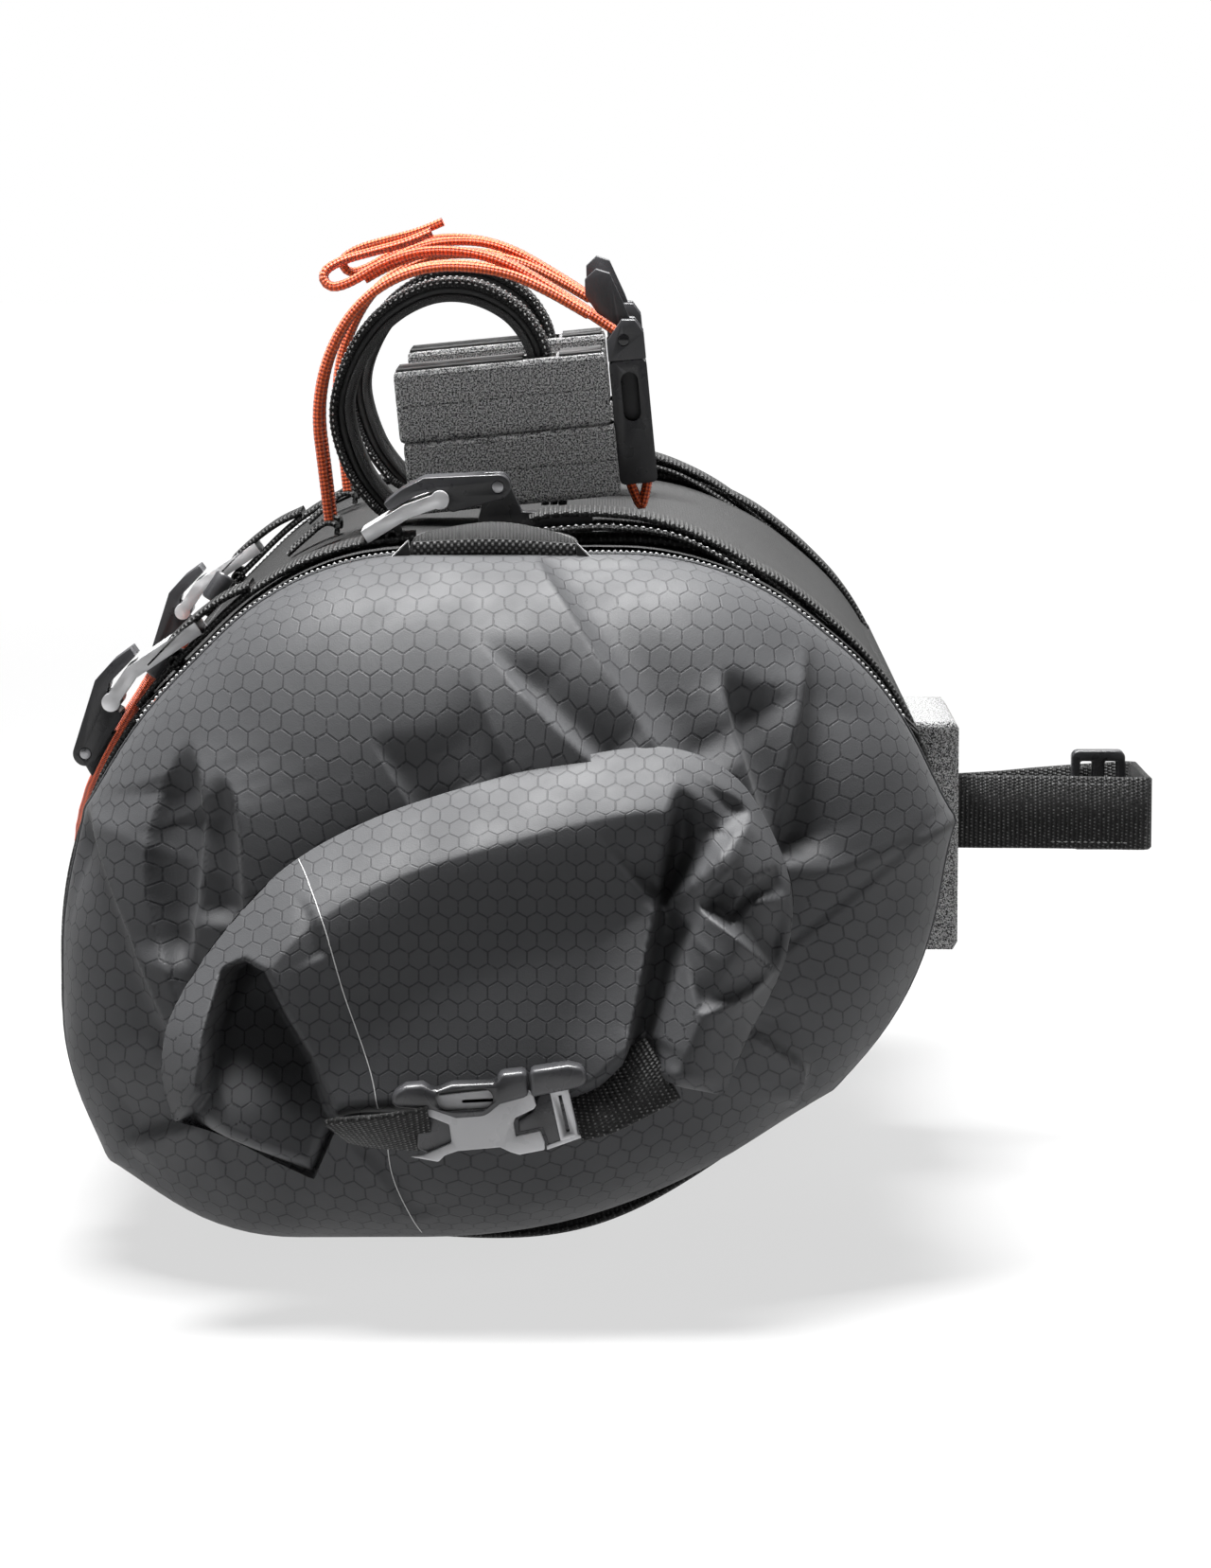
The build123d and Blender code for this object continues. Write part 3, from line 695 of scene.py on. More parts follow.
# ---------------------------------------------------------------- gathered ends
class Fold:
    """A crease along a route of (x, z): gently raised on its left, dropping sharply to a hollow on its right.

    The left is that of someone who walks the route with the bag's outside up. A fold with side -1 is the
    other way round. It begins as a point and widens to its full depth over grow, a share of its length."""

    def __init__(self, route, depth, width, crest=0.3, side=1, grow=0.6, fade=0.15):
        self.route = curve_points(route, 14) if len(route) > 2 else np.array(route, float)
        self.depth, self.width, self.crest = depth, width, crest
        self.side, self.grow, self.fade = side, grow, fade

    def height(self, x, z):
        nearest = np.full(x.shape, 1e9)
        across, along = np.zeros_like(x), np.zeros_like(x)
        steps = np.linalg.norm(np.diff(self.route, axis=0), axis=1)
        total, gone = steps.sum(), 0.0
        last = len(steps) - 1
        for k, (a, b) in enumerate(zip(self.route, self.route[1:])):
            d = (b - a) / steps[k]
            run = (x - a[0]) * d[0] + (z - a[1]) * d[1]
            kept = np.clip(run, 0 if k else -1e9, steps[k] if k < last else 1e9)
            far = np.hypot(x - a[0] - kept * d[0], z - a[1] - kept * d[1])
            nearer = far < nearest
            nearest = np.where(nearer, far, nearest)
            across = np.where(nearer, (x - a[0]) * d[1] - (z - a[1]) * d[0], across)
            along = np.where(nearer, (gone + kept) / total, along)
            gone += steps[k]
        offset = np.sign(across) * nearest * self.side
        spread = self.width * (0.3 + 0.7 * np.clip(along / self.grow, 0, 1))
        reach = smooth_step(along / self.grow) * (1 - smooth_step((along - 1) / self.fade))
        down = np.maximum(offset, 0) / (0.3 * spread)
        hollow = down * np.exp(1 - down)
        top = np.exp(-np.sqrt(offset ** 2 + 0.5) / (0.7 * spread))
        return self.depth * reach * (self.crest * top - hollow)


def fold_field(x, z, folds):
    """Height of all folds at the points (x, z)."""
    return sum(fold.height(x, z) for fold in folds)


# folds of the gathered end, seen along +Y, from the rim towards the roll
FOLDS = [
    Fold([(7.5, -40), (19, -56), (31, -73), (44, -92)], 6.0, 24, 0.35, side=-1, grow=0.35),
    Fold([(-4, -61), (9, -75.5), (26, -91)], 4.2, 12, 0.35, side=-1, grow=0.5),
    Fold([(-6, -66), (0, -82), (8, -98)], 2.0, 16, 0.0, grow=0.6),
    Fold([(-30, -84), (-25, -92), (-18, -103)], 2.0, 16, 0.0, side=-1),
    Fold([(-66, -94), (-61.5, -103), (-59.5, -126)], 5.2, 14, 0.3, grow=0.35),
    Fold([(-74.5, -87), (-70.6, -98), (-70.6, -115), (-72.5, -136)], 5.0, 15, 0.3, grow=0.25),
    Fold([(-75.4, -87), (-81.5, -100), (-84.6, -113), (-83.6, -129), (-76, -150)], 3.4, 15, 0.5, side=-1,
         grow=0.3),
    Fold([(-101, -105), (-91, -129.5), (-79.5, -156)], 5.0, 17, 0.3, grow=0.15),
    Fold([(57, -68), (58.6, -81), (67.5, -112)], 6.8, 15, 0.3, side=-1, grow=0.3),
    Fold([(78.4, -63), (75.7, -81), (69.5, -109)], 5.2, 19, 0.45, side=-1, grow=0.35),
    Fold([(117, -106), (89, -126), (71, -139)], 0.7, 4, 0.1, grow=0.2),
    Fold([(-93, -191), (-84, -186), (-72, -181.5)], 3.6, 12, 0.7, side=-1, grow=0.3),
    Fold([(60, -155), (71.5, -164.4), (77, -170), (75.5, -177)], 3.6, 9, 0.6, side=-1, grow=0.3),
    Fold([(-36, -183), (-27, -194.6), (-21, -206)], 1.6, 9, 0.4, side=-1, grow=0.3),
]
END_DEPTH = 55
END_ROWS = 100
GATHERED = 0.75  # the weave draws in towards the roll by this share of the way it has run


def soft_noise(x, y, z, size, seed=0.0):
    return np.array([noise.noise(Vector((a / size + seed, b / size, c / size)))
                     for a, b, c in zip(x.ravel(), y.ravel(), z.ravel())]).reshape(x.shape)


def end_surface():
    """Points and UVs of the near gathered end, row by row from the rim to the middle of the roll."""
    t = np.linspace(0, 1, END_ROWS)[:, None]
    turn = t * math.radians(86)
    depth = END_DEPTH * np.sin(turn) ** 0.95
    scale = 1 - 0.74 * (1 - np.cos(turn)) ** 0.88
    away = RIM - CENTRE
    x = CENTRE[0] + away[:, 0] * scale
    z = CENTRE[1] + away[:, 1] * scale
    y = RIM_Y - depth * np.ones_like(x)
    lift = 1.25 * fold_field(x, z, FOLDS) * smooth_step(t / 0.1)
    lift = lift + soft_noise(x, y, z, 42) * 1.3 * smooth_step(t / 0.25)
    radial = unit(away)
    facing = np.sin(turn)
    x = x + radial[:, 0] * lift * (1 - facing) * 0.8
    z = z + radial[:, 1] * lift * (1 - facing) * 0.8
    y = y - lift * (0.25 + 0.75 * facing)
    step = np.hypot(np.diff(depth, axis=0), np.diff(scale, axis=0) * 85)
    gone = np.vstack([[0], np.cumsum(step, axis=0)])
    u = CENTRE[0] + away[:, 0] - radial[:, 0] * gone * GATHERED
    v = CENTRE[1] + away[:, 1] - radial[:, 1] * gone * GATHERED
    return np.stack([x, y, z], 2).reshape(-1, 3), np.stack([u, v], 2).reshape(-1, 2)


def make_ends():
    points, uvs = end_surface()
    faces = grid_faces(END_ROWS, AROUND, wrap=True, flip=True)
    faces.append(tuple(range((END_ROWS - 1) * AROUND, END_ROWS * AROUND)))
    made = {}
    for end, side in ENDS:
        piece = mesh_object(f"gathered_end_{end}", side_of(points, side), mirrored(faces, side), uvs,
                            material=FABRIC)
        place(piece, "bag", "coated_fabric", f"bag_end_{end}")
        made[end] = piece
    return made


# ---------------------------------------------------------------- the tube between the rims
def make_tube():
    """The bag's tube: nearly straight, with long soft dents, strongest over its lower part."""
    rows = 90
    ys = np.linspace(RIM_Y, -RIM_Y, rows)[:, None] * np.ones(AROUND)
    x = OUTLINE[:, 0] * np.ones_like(ys)
    z = OUTLINE[:, 1] * np.ones_like(ys)
    inner = 1 - np.abs(ys / RIM_Y) ** 6
    lower = smooth_step((-70 - z) / 60)
    dents = soft_noise(x, ys, z, 60, 3) * 3.2 + soft_noise(x, ys * 0.5, z, 22, 9) * 1.3
    move = (dents - 0.8) * inner * (0.15 + 0.85 * lower)
    ears = RIM - OUTLINE
    x = x + OUTWARD[:, 0] * move + ears[:, 0] * (1 - inner) ** 3
    z = z + OUTWARD[:, 1] * move + ears[:, 1] * (1 - inner) ** 3
    points = np.stack([x, ys, z], 2).reshape(-1, 3)
    u = np.broadcast_to(PERIMETER, x.shape)
    uvs = np.stack([u, ys], 2).reshape(-1, 2)
    piece = mesh_object("bag_cover", points, grid_faces(rows, AROUND, wrap=True), uvs, material=FABRIC)
    place(piece, "bag", "coated_fabric", "bag_tube")


# ---------------------------------------------------------------- rolls
# outline of the near roll seen along +Y, over the top from its left tip to its right one
ROLL_OVER = [(-75.3, -173.5), (-78.2, -163), (-77, -151), (-71, -139.5), (-62, -127.5), (-48, -114),
             (-27, -103), (0, -94.5), (30, -87.5), (47, -87.5), (61, -95), (70.5, -111), (73.5, -123),
             (70.8, -138), (63, -153), (56.5, -167.5)]
ROLL_UNDER = [(-75.3, -173.5), (-67, -176.4), (-57, -180.6), (-46.5, -185.2), (-42.2, -187),
              (-41.2, -186.6), (-39.2, -182.5), (-36, -175.5), (-33.5, -172.2), (-20, -171.5), (5, -172.5),
              (25, -167), (36, -158), (42, -163.5), (56.5, -167.5)]
LEFT_MOUTH = [(-64.1, -137), (-58.6, -134.2), (-52.3, -136.5), (-47, -147), (-40.7, -157), (-34, -173),
              (-34, -195), (-80, -176), (-74.8, -172.5), (-69.5, -164.4), (-68.2, -152)]
ROLL_FOLDS = [
    Fold([(46.5, -93), (42.6, -103), (41.5, -116), (39, -128), (36, -142), (33, -155)], 10.0, 13, 0.1,
         side=-1, grow=0.15),
    Fold([(64.9, -101), (57.5, -108.6), (43.5, -122)], 8.0, 15, 0.35, grow=0.15, fade=0.1),
    Fold([(48, -100), (49.3, -111), (43.1, -123)], 2.5, 7, 0.6, grow=0.2, fade=0.1),
    Fold([(71.5, -113.5), (63, -117), (58.6, -123.6)], 2.4, 6, 0.5, side=-1, grow=0.2, fade=0.1),
    Fold([(73, -121), (64, -121.5), (59, -126)], 3.0, 6, 0.5, grow=0.2, fade=0.1),
    Fold([(50, -122.6), (58, -127.6), (64.3, -133.7), (68, -137.5)], 8.0, 12, 0.3, side=-1, grow=0.15,
         fade=0.1),
    Fold([(70.5, -138), (60, -143.5), (52, -146)], 3.6, 9, 0.3, grow=0.2, fade=0.1),
    Fold([(49.6, -126), (46.5, -136), (40, -152)], 3.0, 7, 0.7, grow=0.2, fade=0.1),
    Fold([(-47, -119), (-42, -123), (-38, -131)], 1.6, 6, 0.2),
]
CREST = 13.5
ROLL_HALF = 16.5
ROLL_COLUMNS, ROLL_ROWS = 230, 140


def inside_distance(x, z, polygon):
    """How far points lie inside a closed polygon; 0 outside it."""
    nearest = np.full(x.shape, 1e9)
    inside = np.zeros(x.shape, bool)
    for (x0, z0), (x1, z1) in zip(polygon, polygon[1:] + polygon[:1]):
        dx, dz = x1 - x0, z1 - z0
        along = np.clip(((x - x0) * dx + (z - z0) * dz) / (dx * dx + dz * dz), 0, 1)
        nearest = np.minimum(nearest, np.hypot(x - x0 - along * dx, z - z0 - along * dz))
        crosses = ((z0 > z) != (z1 > z)) & (x < (x1 - x0) * (z - z0) / (z1 - z0 + 1e-12) + x0)
        inside ^= crosses
    return np.where(inside, nearest, 0)


def round_edge(distance, radius):
    """Profile of a rounded edge: 0 at the edge, 1 from radius inwards."""
    x = np.clip(distance / radius, 0, 1)
    return np.sqrt(np.maximum(0, 1 - (1 - x) ** 2))


def crest_profile(distance):
    """A sloped band that ends at a rounded edge: 0 at the outline, 1 from CREST inwards."""
    return 1 - (1 - np.clip(distance / CREST, 0, 1)) ** 1.35


def roll_surface():
    """The flattened roll's front and back, as grids of x, z and two depths, and the distance from its top."""
    over = curve_points(ROLL_OVER, ROLL_COLUMNS)
    under = curve_points(ROLL_UNDER, ROLL_COLUMNS)
    v = (np.linspace(0, 1, ROLL_ROWS) ** 1.1)[:, None]
    x = over[:, 0] * (1 - v) + under[:, 0] * v
    z = over[:, 1] * (1 - v) + under[:, 1] * v
    from_top = distance_to_line(x, z, over)
    from_bottom = distance_to_line(x, z, under)
    half = ROLL_HALF * crest_profile(from_top) * round_edge(from_bottom + 0.05, 5)
    face = np.maximum(from_top - CREST, 0)
    half = half - ROLL_HALF * 0.42 * smooth_step(face / 30)
    half = np.maximum(half, 0.5 * round_edge(from_top, 3))
    middle = -206 - 0.36 * (-103 - z)
    lift = fold_field(x, z, ROLL_FOLDS) * smooth_step(from_top / 4) + soft_noise(x, middle, z, 26, 2) * 0.9
    mouth = smooth_step(inside_distance(x, z, LEFT_MOUTH) / 4)
    pit = mouth * (12 + 12 * smooth_step((z + 172) / 28))
    back = middle + half * 1.1 + 4 * round_edge(from_top, CREST)
    front = middle - half - lift * round_edge(from_top, CREST) * round_edge(from_bottom, 4) + pit
    return x, z, np.minimum(front, back - 0.2), back, from_top


def distance_to_line(x, z, line):
    points = np.column_stack([x.ravel(), z.ravel()])
    best = np.full(len(points), 1e9)
    for a, b in zip(line, line[1:]):
        d = b - a
        along = np.clip(((points - a) @ d) / max(d @ d, 1e-9), 0, 1)
        best = np.minimum(best, np.linalg.norm(points - a - along[:, None] * d, axis=1))
    return best.reshape(x.shape)


def make_rolls():
    x, z, front, back, from_top = roll_surface()
    front_points = np.stack([x, front, z], 2).reshape(-1, 3)
    back_points = np.stack([x, back, z], 2).reshape(-1, 3)
    bent = np.minimum(from_top, CREST)
    uvs = np.stack([x, z + (CREST - bent) * 0.45], 2).reshape(-1, 2)
    count = len(front_points)
    faces = grid_faces(ROLL_ROWS, ROLL_COLUMNS) + grid_faces(ROLL_ROWS, ROLL_COLUMNS, flip=True, first=count)
    made = {}
    for end, side in ENDS:
        piece = mesh_object(f"roll_cover_{end}", side_of(np.vstack([front_points, back_points]), side),
                            mirrored(faces, side), np.vstack([uvs, uvs]), material=FABRIC)
        weld(piece, 0.4)
        place(piece, "bag", "coated_fabric", f"roll_{end}")
        made[end] = piece
    return made


# ---------------------------------------------------------------- threads and seams
def stitches(name, line, pitch, length, thick, material):
    """A row of separate stitches along a line of close points."""
    line = np.asarray(line, float)
    gone = distances(line)
    points, faces = [], []
    for start in np.arange(0, gone[-1] - length, pitch):
        tips = [np.array([np.interp(start + part, gone, axis) for axis in line.T]) for part in (0, length)]
        forward = unit(tips[1] - tips[0])
        side = unit(np.cross(forward, np.array([0.31, 0.22, 0.92])))
        up = np.cross(forward, side)
        middle = (tips[0] + tips[1]) / 2
        first = len(points)
        points.append(tips[0])
        for j in range(6):
            turn = math.pi * j / 3
            points.append(middle + thick / 2 * (math.cos(turn) * side + math.sin(turn) * up))
        points.append(tips[1])
        for j in range(6):
            k = (j + 1) % 6
            faces.append((first, first + 1 + k, first + 1 + j))
            faces.append((first + 7, first + 1 + j, first + 1 + k))
    return mesh_object(name, points, faces, material=material)


def seen_on(tree, route, lift=0.12, count=90):
    """Points on a surface under a route of (x, z), looked for along +Y."""
    found = []
    for x, z in curve_points(route, count):
        hit = tree.ray_cast(Vector((x, -400, z)) * MM, Vector((0, 1, 0)))
        if hit[0] is not None:
            outward = np.array(hit[1]) * (-1 if hit[1].y > 0 else 1)
            found.append(np.array(hit[0]) / MM + outward * lift)
    return found


def add_seams():
    """Thin sewn lines over the roll and under it, and the stitched edge of each rim."""
    roll_tree, end_tree = tree_of(rolls["near"]), tree_of(ends["near"])
    roll_line = seen_on(roll_tree, [(-46, -112.9), (-43.3, -117), (-39, -126), (-34, -143), (-28, -160),
                                    (-26, -169)])
    end_line = seen_on(end_tree, [(-25.5, -184), (-24, -196), (-18, -213)])
    rim = at_depth(RIM + OUTWARD * 0.75, RIM_Y - 0.4)
    first, last = (int(angle_of(x, z) / (2 * math.pi) * AROUND) for x, z in ((104, -84), (-88, -90)))
    for end, side in ENDS:
        for name, line in (("roll_seam", roll_line), ("end_seam", end_line)):
            thread = tube(f"{name}_{end}", side_of(line, side), 0.13, THREAD, around=6)
            place(thread, "bag", "coated_fabric")
        row = stitches(f"rim_stitches_{end}", side_of(rim[first:last], side), 1.5, 1.1, 0.7, THREAD)
        place(row, "bag", "panel_fabric")
        around_rim = side_of(at_depth(np.vstack([RIM, RIM[:2]]), RIM_Y + 0.6), side)
        welt = tube(f"rim_welt_{end}", around_rim, 0.55, FABRIC, around=8, caps=False)
        place(welt, "bag", "coated_fabric")


# ---------------------------------------------------------------- reinforced back
def along_section(start, stop, offset, y, count, clockwise=True):
    """Points round the section from one direction to another, as (x, y, z)."""
    a, b = angle_of(*start), angle_of(*stop)
    if clockwise and b > a:
        b -= 2 * math.pi
    if not clockwise and b < a:
        b += 2 * math.pi
    found = []
    for turn in np.linspace(a, b, count):
        toward = (GATHER[0] + math.cos(turn), GATHER[1] + math.sin(turn))
        lift = offset(*on_section(*toward, 0)) if callable(offset) else offset
        x, z = on_section(*toward, lift)
        found.append((x, y, z))
    return found


def add_back_panel():
    half = 142
    rows, columns = 60, 120
    left, right = (-84, -84), (104, -88)
    points = np.array([along_section(left, right, 0.9, y, columns) for y in np.linspace(-half, half, rows)])
    ripple = soft_noise(points[..., 0], points[..., 1], points[..., 2], 26, 4) * 0.5
    points[..., 2] += ripple
    arc = distances(points[0])
    uvs = np.stack([np.broadcast_to(arc, points.shape[:2]), points[..., 1]], 2).reshape(-1, 2)
    panel = mesh_object("back_cover", points.reshape(-1, 3), grid_faces(rows, columns, flip=True), uvs,
                        material=PANEL)
    place(panel, "bag", "panel_fabric", "back_panel")
    for name, toward, lean in (("left", left, 0.7), ("right", right, -0.7)):
        x, z = on_section(*toward, 1.1)
        path = [(x, y, z) for y in (-half, -60, 0, 60, half)]
        edge = ribbon(f"panel_edge_{name}", path, (lean, 0, 0.7), 7, 0.8, STRAP)
        place(edge, "bag", "panel_fabric")


def add_sleeves():
    """The short arched sleeve of each rim, that the inner plate was slid in through."""
    arch = [(-21.6, -44.2), (-19, -39.6), (-10, -37.6), (0, -36.6), (10, -37.6), (20, -40.4), (21.5, -44.2)]
    line = curve_points(arch, 40)
    ys = np.array([-150.8, -149.6, -146, -141, -136, -134])
    drop = np.array([0.8, 0.0, -0.3, -0.6, -1.2, -3.0])
    for end, side in ENDS:
        points, uvs = [], []
        for y, low in zip(ys, drop):
            for k, (x, z) in enumerate(line):
                points.append((x, y, z + low * math.sin(math.pi * k / 39)))
                uvs.append((x, y))
        face = len(points)
        for x, z in line:
            points.append((x, ys[0], min(z, -44.6)))
            uvs.append((x, z))
        faces = grid_faces(len(ys), 40)
        faces += [(face + k, face + k + 1, k + 1, k) for k in range(39)]
        piece = mesh_object(f"sleeve_{end}", side_of(points, side), mirrored(faces, side), uvs,
                            material=SLEEVE)
        place(piece, "bag", "panel_fabric", "rim_sleeves")
        for name, corners in (("left", [(-26, -45.3), (-20.6, -44.9), (-21.2, -40.4)]),
                              ("right", [(20.8, -41), (21, -45), (26.2, -46.4)])):
            tip = prism(f"sleeve_fold_{name}_{end}", corners, side * -151.8, side * -149.4, DARK)
            place(tip, "bag", "panel_fabric")
            diagonal = at_depth(curve_points(corners[::2], 12), side * -151.9)
            edge = tube(f"sleeve_fold_edge_{name}_{end}", diagonal, 0.2, THREAD, around=6)
            place(edge, "bag", "panel_fabric")
        across_arch = side_of([(-20, -151.2, -42.6), (0, -151.4, -41.8), (20.5, -151.2, -43)], side)
        band = ribbon(f"sleeve_band_{end}", across_arch, (0, 0, 1), 3.6, 0.6, SLEEVE)
        place(band, "bag", "panel_fabric")


# ---------------------------------------------------------------- foam
def leaned(x, z):
    return (x * math.cos(MOUNT_LEAN) - z * math.sin(MOUNT_LEAN),
            x * math.sin(MOUNT_LEAN) + z * math.cos(MOUNT_LEAN))


SEAT_SHIFT = 0.8


def block_loops(shift, inset):
    """The outer and the slot loop of a block, with the same number of points, as (x, y)."""
    corner, outer = 1.2, []
    x1, y1 = STACK_X - inset, 15 - inset
    for cx, cy, first in ((x1, y1, 0), (-x1, y1, 90), (-x1, -y1, 180), (x1, -y1, 270)):
        for step in range(5):
            turn = math.radians(first + 22.5 * step)
            outer.append((cx - math.copysign(corner, cx) + corner * math.cos(turn) + shift,
                          cy - math.copysign(corner, cy) + corner * math.sin(turn)))
    slot = [(x, y) for x, y in ((15.2, 11), (7, 11), (7, -11), (15.2, -11)) for _ in range(5)]
    return outer, slot


def add_foam_skins(end, side):
    """The thin skins on a stack's top, to both sides of its slot."""
    for name, x0, x1 in (("foam_skin", -27.2, 6.4), ("foam_skin_edge", 16, 27.2)):
        outline = [leaned(x0, 0.1), leaned(x1, 0.1), leaned(x1, 0.7), leaned(x0, 0.7)]
        skin = prism(f"{name}_{end}", outline, side * (MOUNT_Y - 14.2), side * (MOUNT_Y + 14.2), FOAM_SKIN)
        place(skin, "bag", "foam")


def add_foam():
    # how far below a block's top, and how far inside its sides there
    levels = [(0, 0.9), (-0.35, 0.25), (-1.5, 0), (-1.7, 0.15), (-1.9, 0), (-9.2, 0), (-9.45, 0.22),
              (-9.7, 0), (-17.6, 0), (-18.5, 0.3), (-18.95, 0.9)]
    for name, top, shift in (("upper", 0, 0), ("lower", -BLOCK, SEAT_SHIFT)):
        for end, side in ENDS:
            points = []
            for depth, inset in levels:
                outer, slot = block_loops(shift, inset)
                for loop in (outer, slot):
                    for x, y in loop:
                        px, pz = leaned(x, top + depth)
                        points.append((px, MOUNT_Y + y, pz))
            n, faces = 20, []
            for k in range(len(levels) - 1):
                for j in range(n):
                    i = (j + 1) % n
                    a, b = 2 * n * k, 2 * n * (k + 1)
                    faces.append((a + j, b + j, b + i, a + i))
                    if j % 5 == 4:
                        faces.append((a + n + i, b + n + i, b + n + j, a + n + j))
            last = 2 * n * (len(levels) - 1)
            for j in range(n):
                i = (j + 1) % n
                faces.append((j, i, n + i, n + j))
                faces.append((last + i, last + j, last + n + j, last + n + i))
            piece = mesh_object(f"foam_block_{name}_{end}", side_of(points, side), mirrored(faces, side),
                                material=FOAM, smooth=False)
            place(piece, "bag", "foam", f"foam_{name}_{end}")
            if name == "upper":
                add_foam_skins(end, side)


# ---------------------------------------------------------------- bar straps
OUTER_BAND = [(-27, -42), (-33, -38.5), (-40.3, -28), (-43.8, -14), (-40.4, 0), (-32.3, 12.2),
              (-19.6, 19.6), (-7, 20.1), (3.9, 14.9), (10.6, 6.9), (13.4, -2), (15.4, -18), (16.8, -38)]
INNER_BAND = [(-24, -40.2), (-28, -38.2), (-35.6, -28), (-39.8, -13.2), (-36.6, -0.8), (-28.8, 9.8),
              (-18.4, 15.8), (-8, 16.2), (1.7, 11.7), (7.4, 4.4), (9.2, -3), (10.8, -18), (12.2, -38)]


def add_bar_straps():
    middle = [((ax + bx) / 2, (az + bz) / 2) for (ax, az), (bx, bz) in zip(OUTER_BAND, INNER_BAND)]
    for end, side in ENDS:
        y = side * MOUNT_Y
        for name, path, width, thick, material in (("outer", OUTER_BAND, WEBBING, 2.2, FASTENING),
                                                   ("core", middle, WEBBING - 2, 1.9, FOAM_SKIN),
                                                   ("inner", INNER_BAND, WEBBING, 2.0, LOOP_PILE)):
            band = ribbon(f"bar_strap_{name}_{end}", at_depth(path, y), (0, 1, 0), width, thick, material,
                          count=110)
            place(band, "bag", "fastening_webbing", f"bar_strap_{end}")
        outer_edge = curve_points(OUTER_BAND[1:11], 160)
        out = unit(np.column_stack([-np.gradient(outer_edge[:, 1]), np.gradient(outer_edge[:, 0])]))
        for row, (y_off, lift) in enumerate(((-10.05, 0.2), (10.05, 0.2), (-8.4, 1.15), (8.4, 1.15))):
            line = at_depth(outer_edge + out * lift, y + y_off)
            row_of_thread = stitches(f"bar_strap_stitches_{row}_{end}", line, 1.7, 1.0, 0.5, THREAD)
            place(row_of_thread, "bag", "fastening_webbing")


# ---------------------------------------------------------------- cords
def nurbs(route):
    """A smooth spline with the route's points as its control points, in metres."""
    curve = bpy.data.curves.new("route", "CURVE")
    curve.dimensions = "3D"
    spline = curve.splines.new("NURBS")
    spline.points.add(len(route) - 1)
    for point, place_at in zip(spline.points, route):
        point.co = (*(c * MM for c in place_at), 1)
    spline.order_u = 3
    spline.use_endpoint_u = True
    spline.resolution_u = 16
    return bpy.data.objects.new("route", curve)


def smooth_route(route):
    """Close points in millimetres along the route's spline."""
    holder = nurbs(route)
    scene.collection.objects.link(holder)
    mesh = bpy.data.meshes.new_from_object(holder.evaluated_get(bpy.context.evaluated_depsgraph_get()))
    line = np.array([v.co for v in mesh.vertices]) / MM
    bpy.data.objects.remove(holder)
    return line


def length_of(line):
    return float(distances(line)[-1])


def round_cord(name, route, diameter, material):
    line = smooth_route(route)
    count, plait = 160, 1.5
    even = curve_points(line[::4], count)
    wave = 1 + 0.035 * np.sin(np.linspace(0, length_of(line) / plait * 2 * math.pi, count))
    return tube(name, even, diameter / 2 * wave, material, around=CORD_SIDES), even


def cord_end():
    """Where the cords meet the tensioner's sloped upper face, in the leaned frame's middle."""
    return leaned(STACK_X + SEAT_SHIFT + 2.25, 5.25)


STRAND = [(-45, -43.3), (-46.6, -29), (-48.6, -13), (-45.2, 3), (-36.5, 16.6), (-22.5, 24.6), (-6, 25.2),
          (10, 21)]
TAIL_A = [(15, -61.2, 18.4), (-2, -60.5, 28), (-19, -60, 29.6), (-31, -59.4, 25.8), (-39.5, -58.6, 20.4),
          (-45.2, -57.4, 18.9), (-47.4, -56, 23), (-42, -55, 26.4), (-32.5, -54.6, 28.9),
          (-23, -54.4, 31.4), (-15.5, -54, 35)]
TAIL_B = [(15, -48.6, 18.4), (-2, -49.2, 28), (-18, -50, 28.8), (-30, -51, 25), (-38.5, -52, 19.6)]


def add_cords():
    end_x, end_z = cord_end()
    for end, side in ENDS:
        for row, offset in enumerate((-10.2, 10.2)):
            y = side * (MOUNT_Y + offset)
            route = at_depth(STRAND + [(end_x - 0.25, end_z + 0.17)], y)
            piece, line = round_cord(f"tension_strand_{row}_{end}", route, CORD, ORANGE_CORD)
            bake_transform(piece)
            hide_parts(f"tension_cord_{end}")
        for row, (offset, tail) in enumerate(((-6.9, TAIL_A), (6.9, TAIL_B))):
            route = side_of([(end_x, MOUNT_Y + offset, end_z)] + tail, side)
            piece, line = round_cord(f"cord_tail_{row}_{end}", route, CORD, ORANGE_CORD)
            place(piece, f"tensioner_{end}", "orange_cord", f"cord_tails_{end}")


def add_anchors():
    """Webbing tabs that hold the cords to the bag's back."""
    for end, side in ENDS:
        for row, offset in enumerate((-10.2, 10.2)):
            path = at_depth([(-56, -51), (-51, -46.6), (-46.4, -42.9), (-43.2, -43.2), (-43, -45.5)],
                            side * (MOUNT_Y + offset))
            strap(f"cord_anchor_{row}_{end}", path, 8, 1.2, "cord_anchors", count=30)


# ---------------------------------------------------------------- straps round the bag
def strap_lift(x, z):
    """How far the strap's middle stands off the bag: slack over its upper right and lower right."""
    upper = math.exp(-(((x - 60) / 45) ** 2 + ((z + 55) / 30) ** 2))
    lower = math.exp(-(((x - 22) / 34) ** 2 + ((z + 214) / 24) ** 2))
    return 1.3 + 1.7 * upper + 4.6 * lower


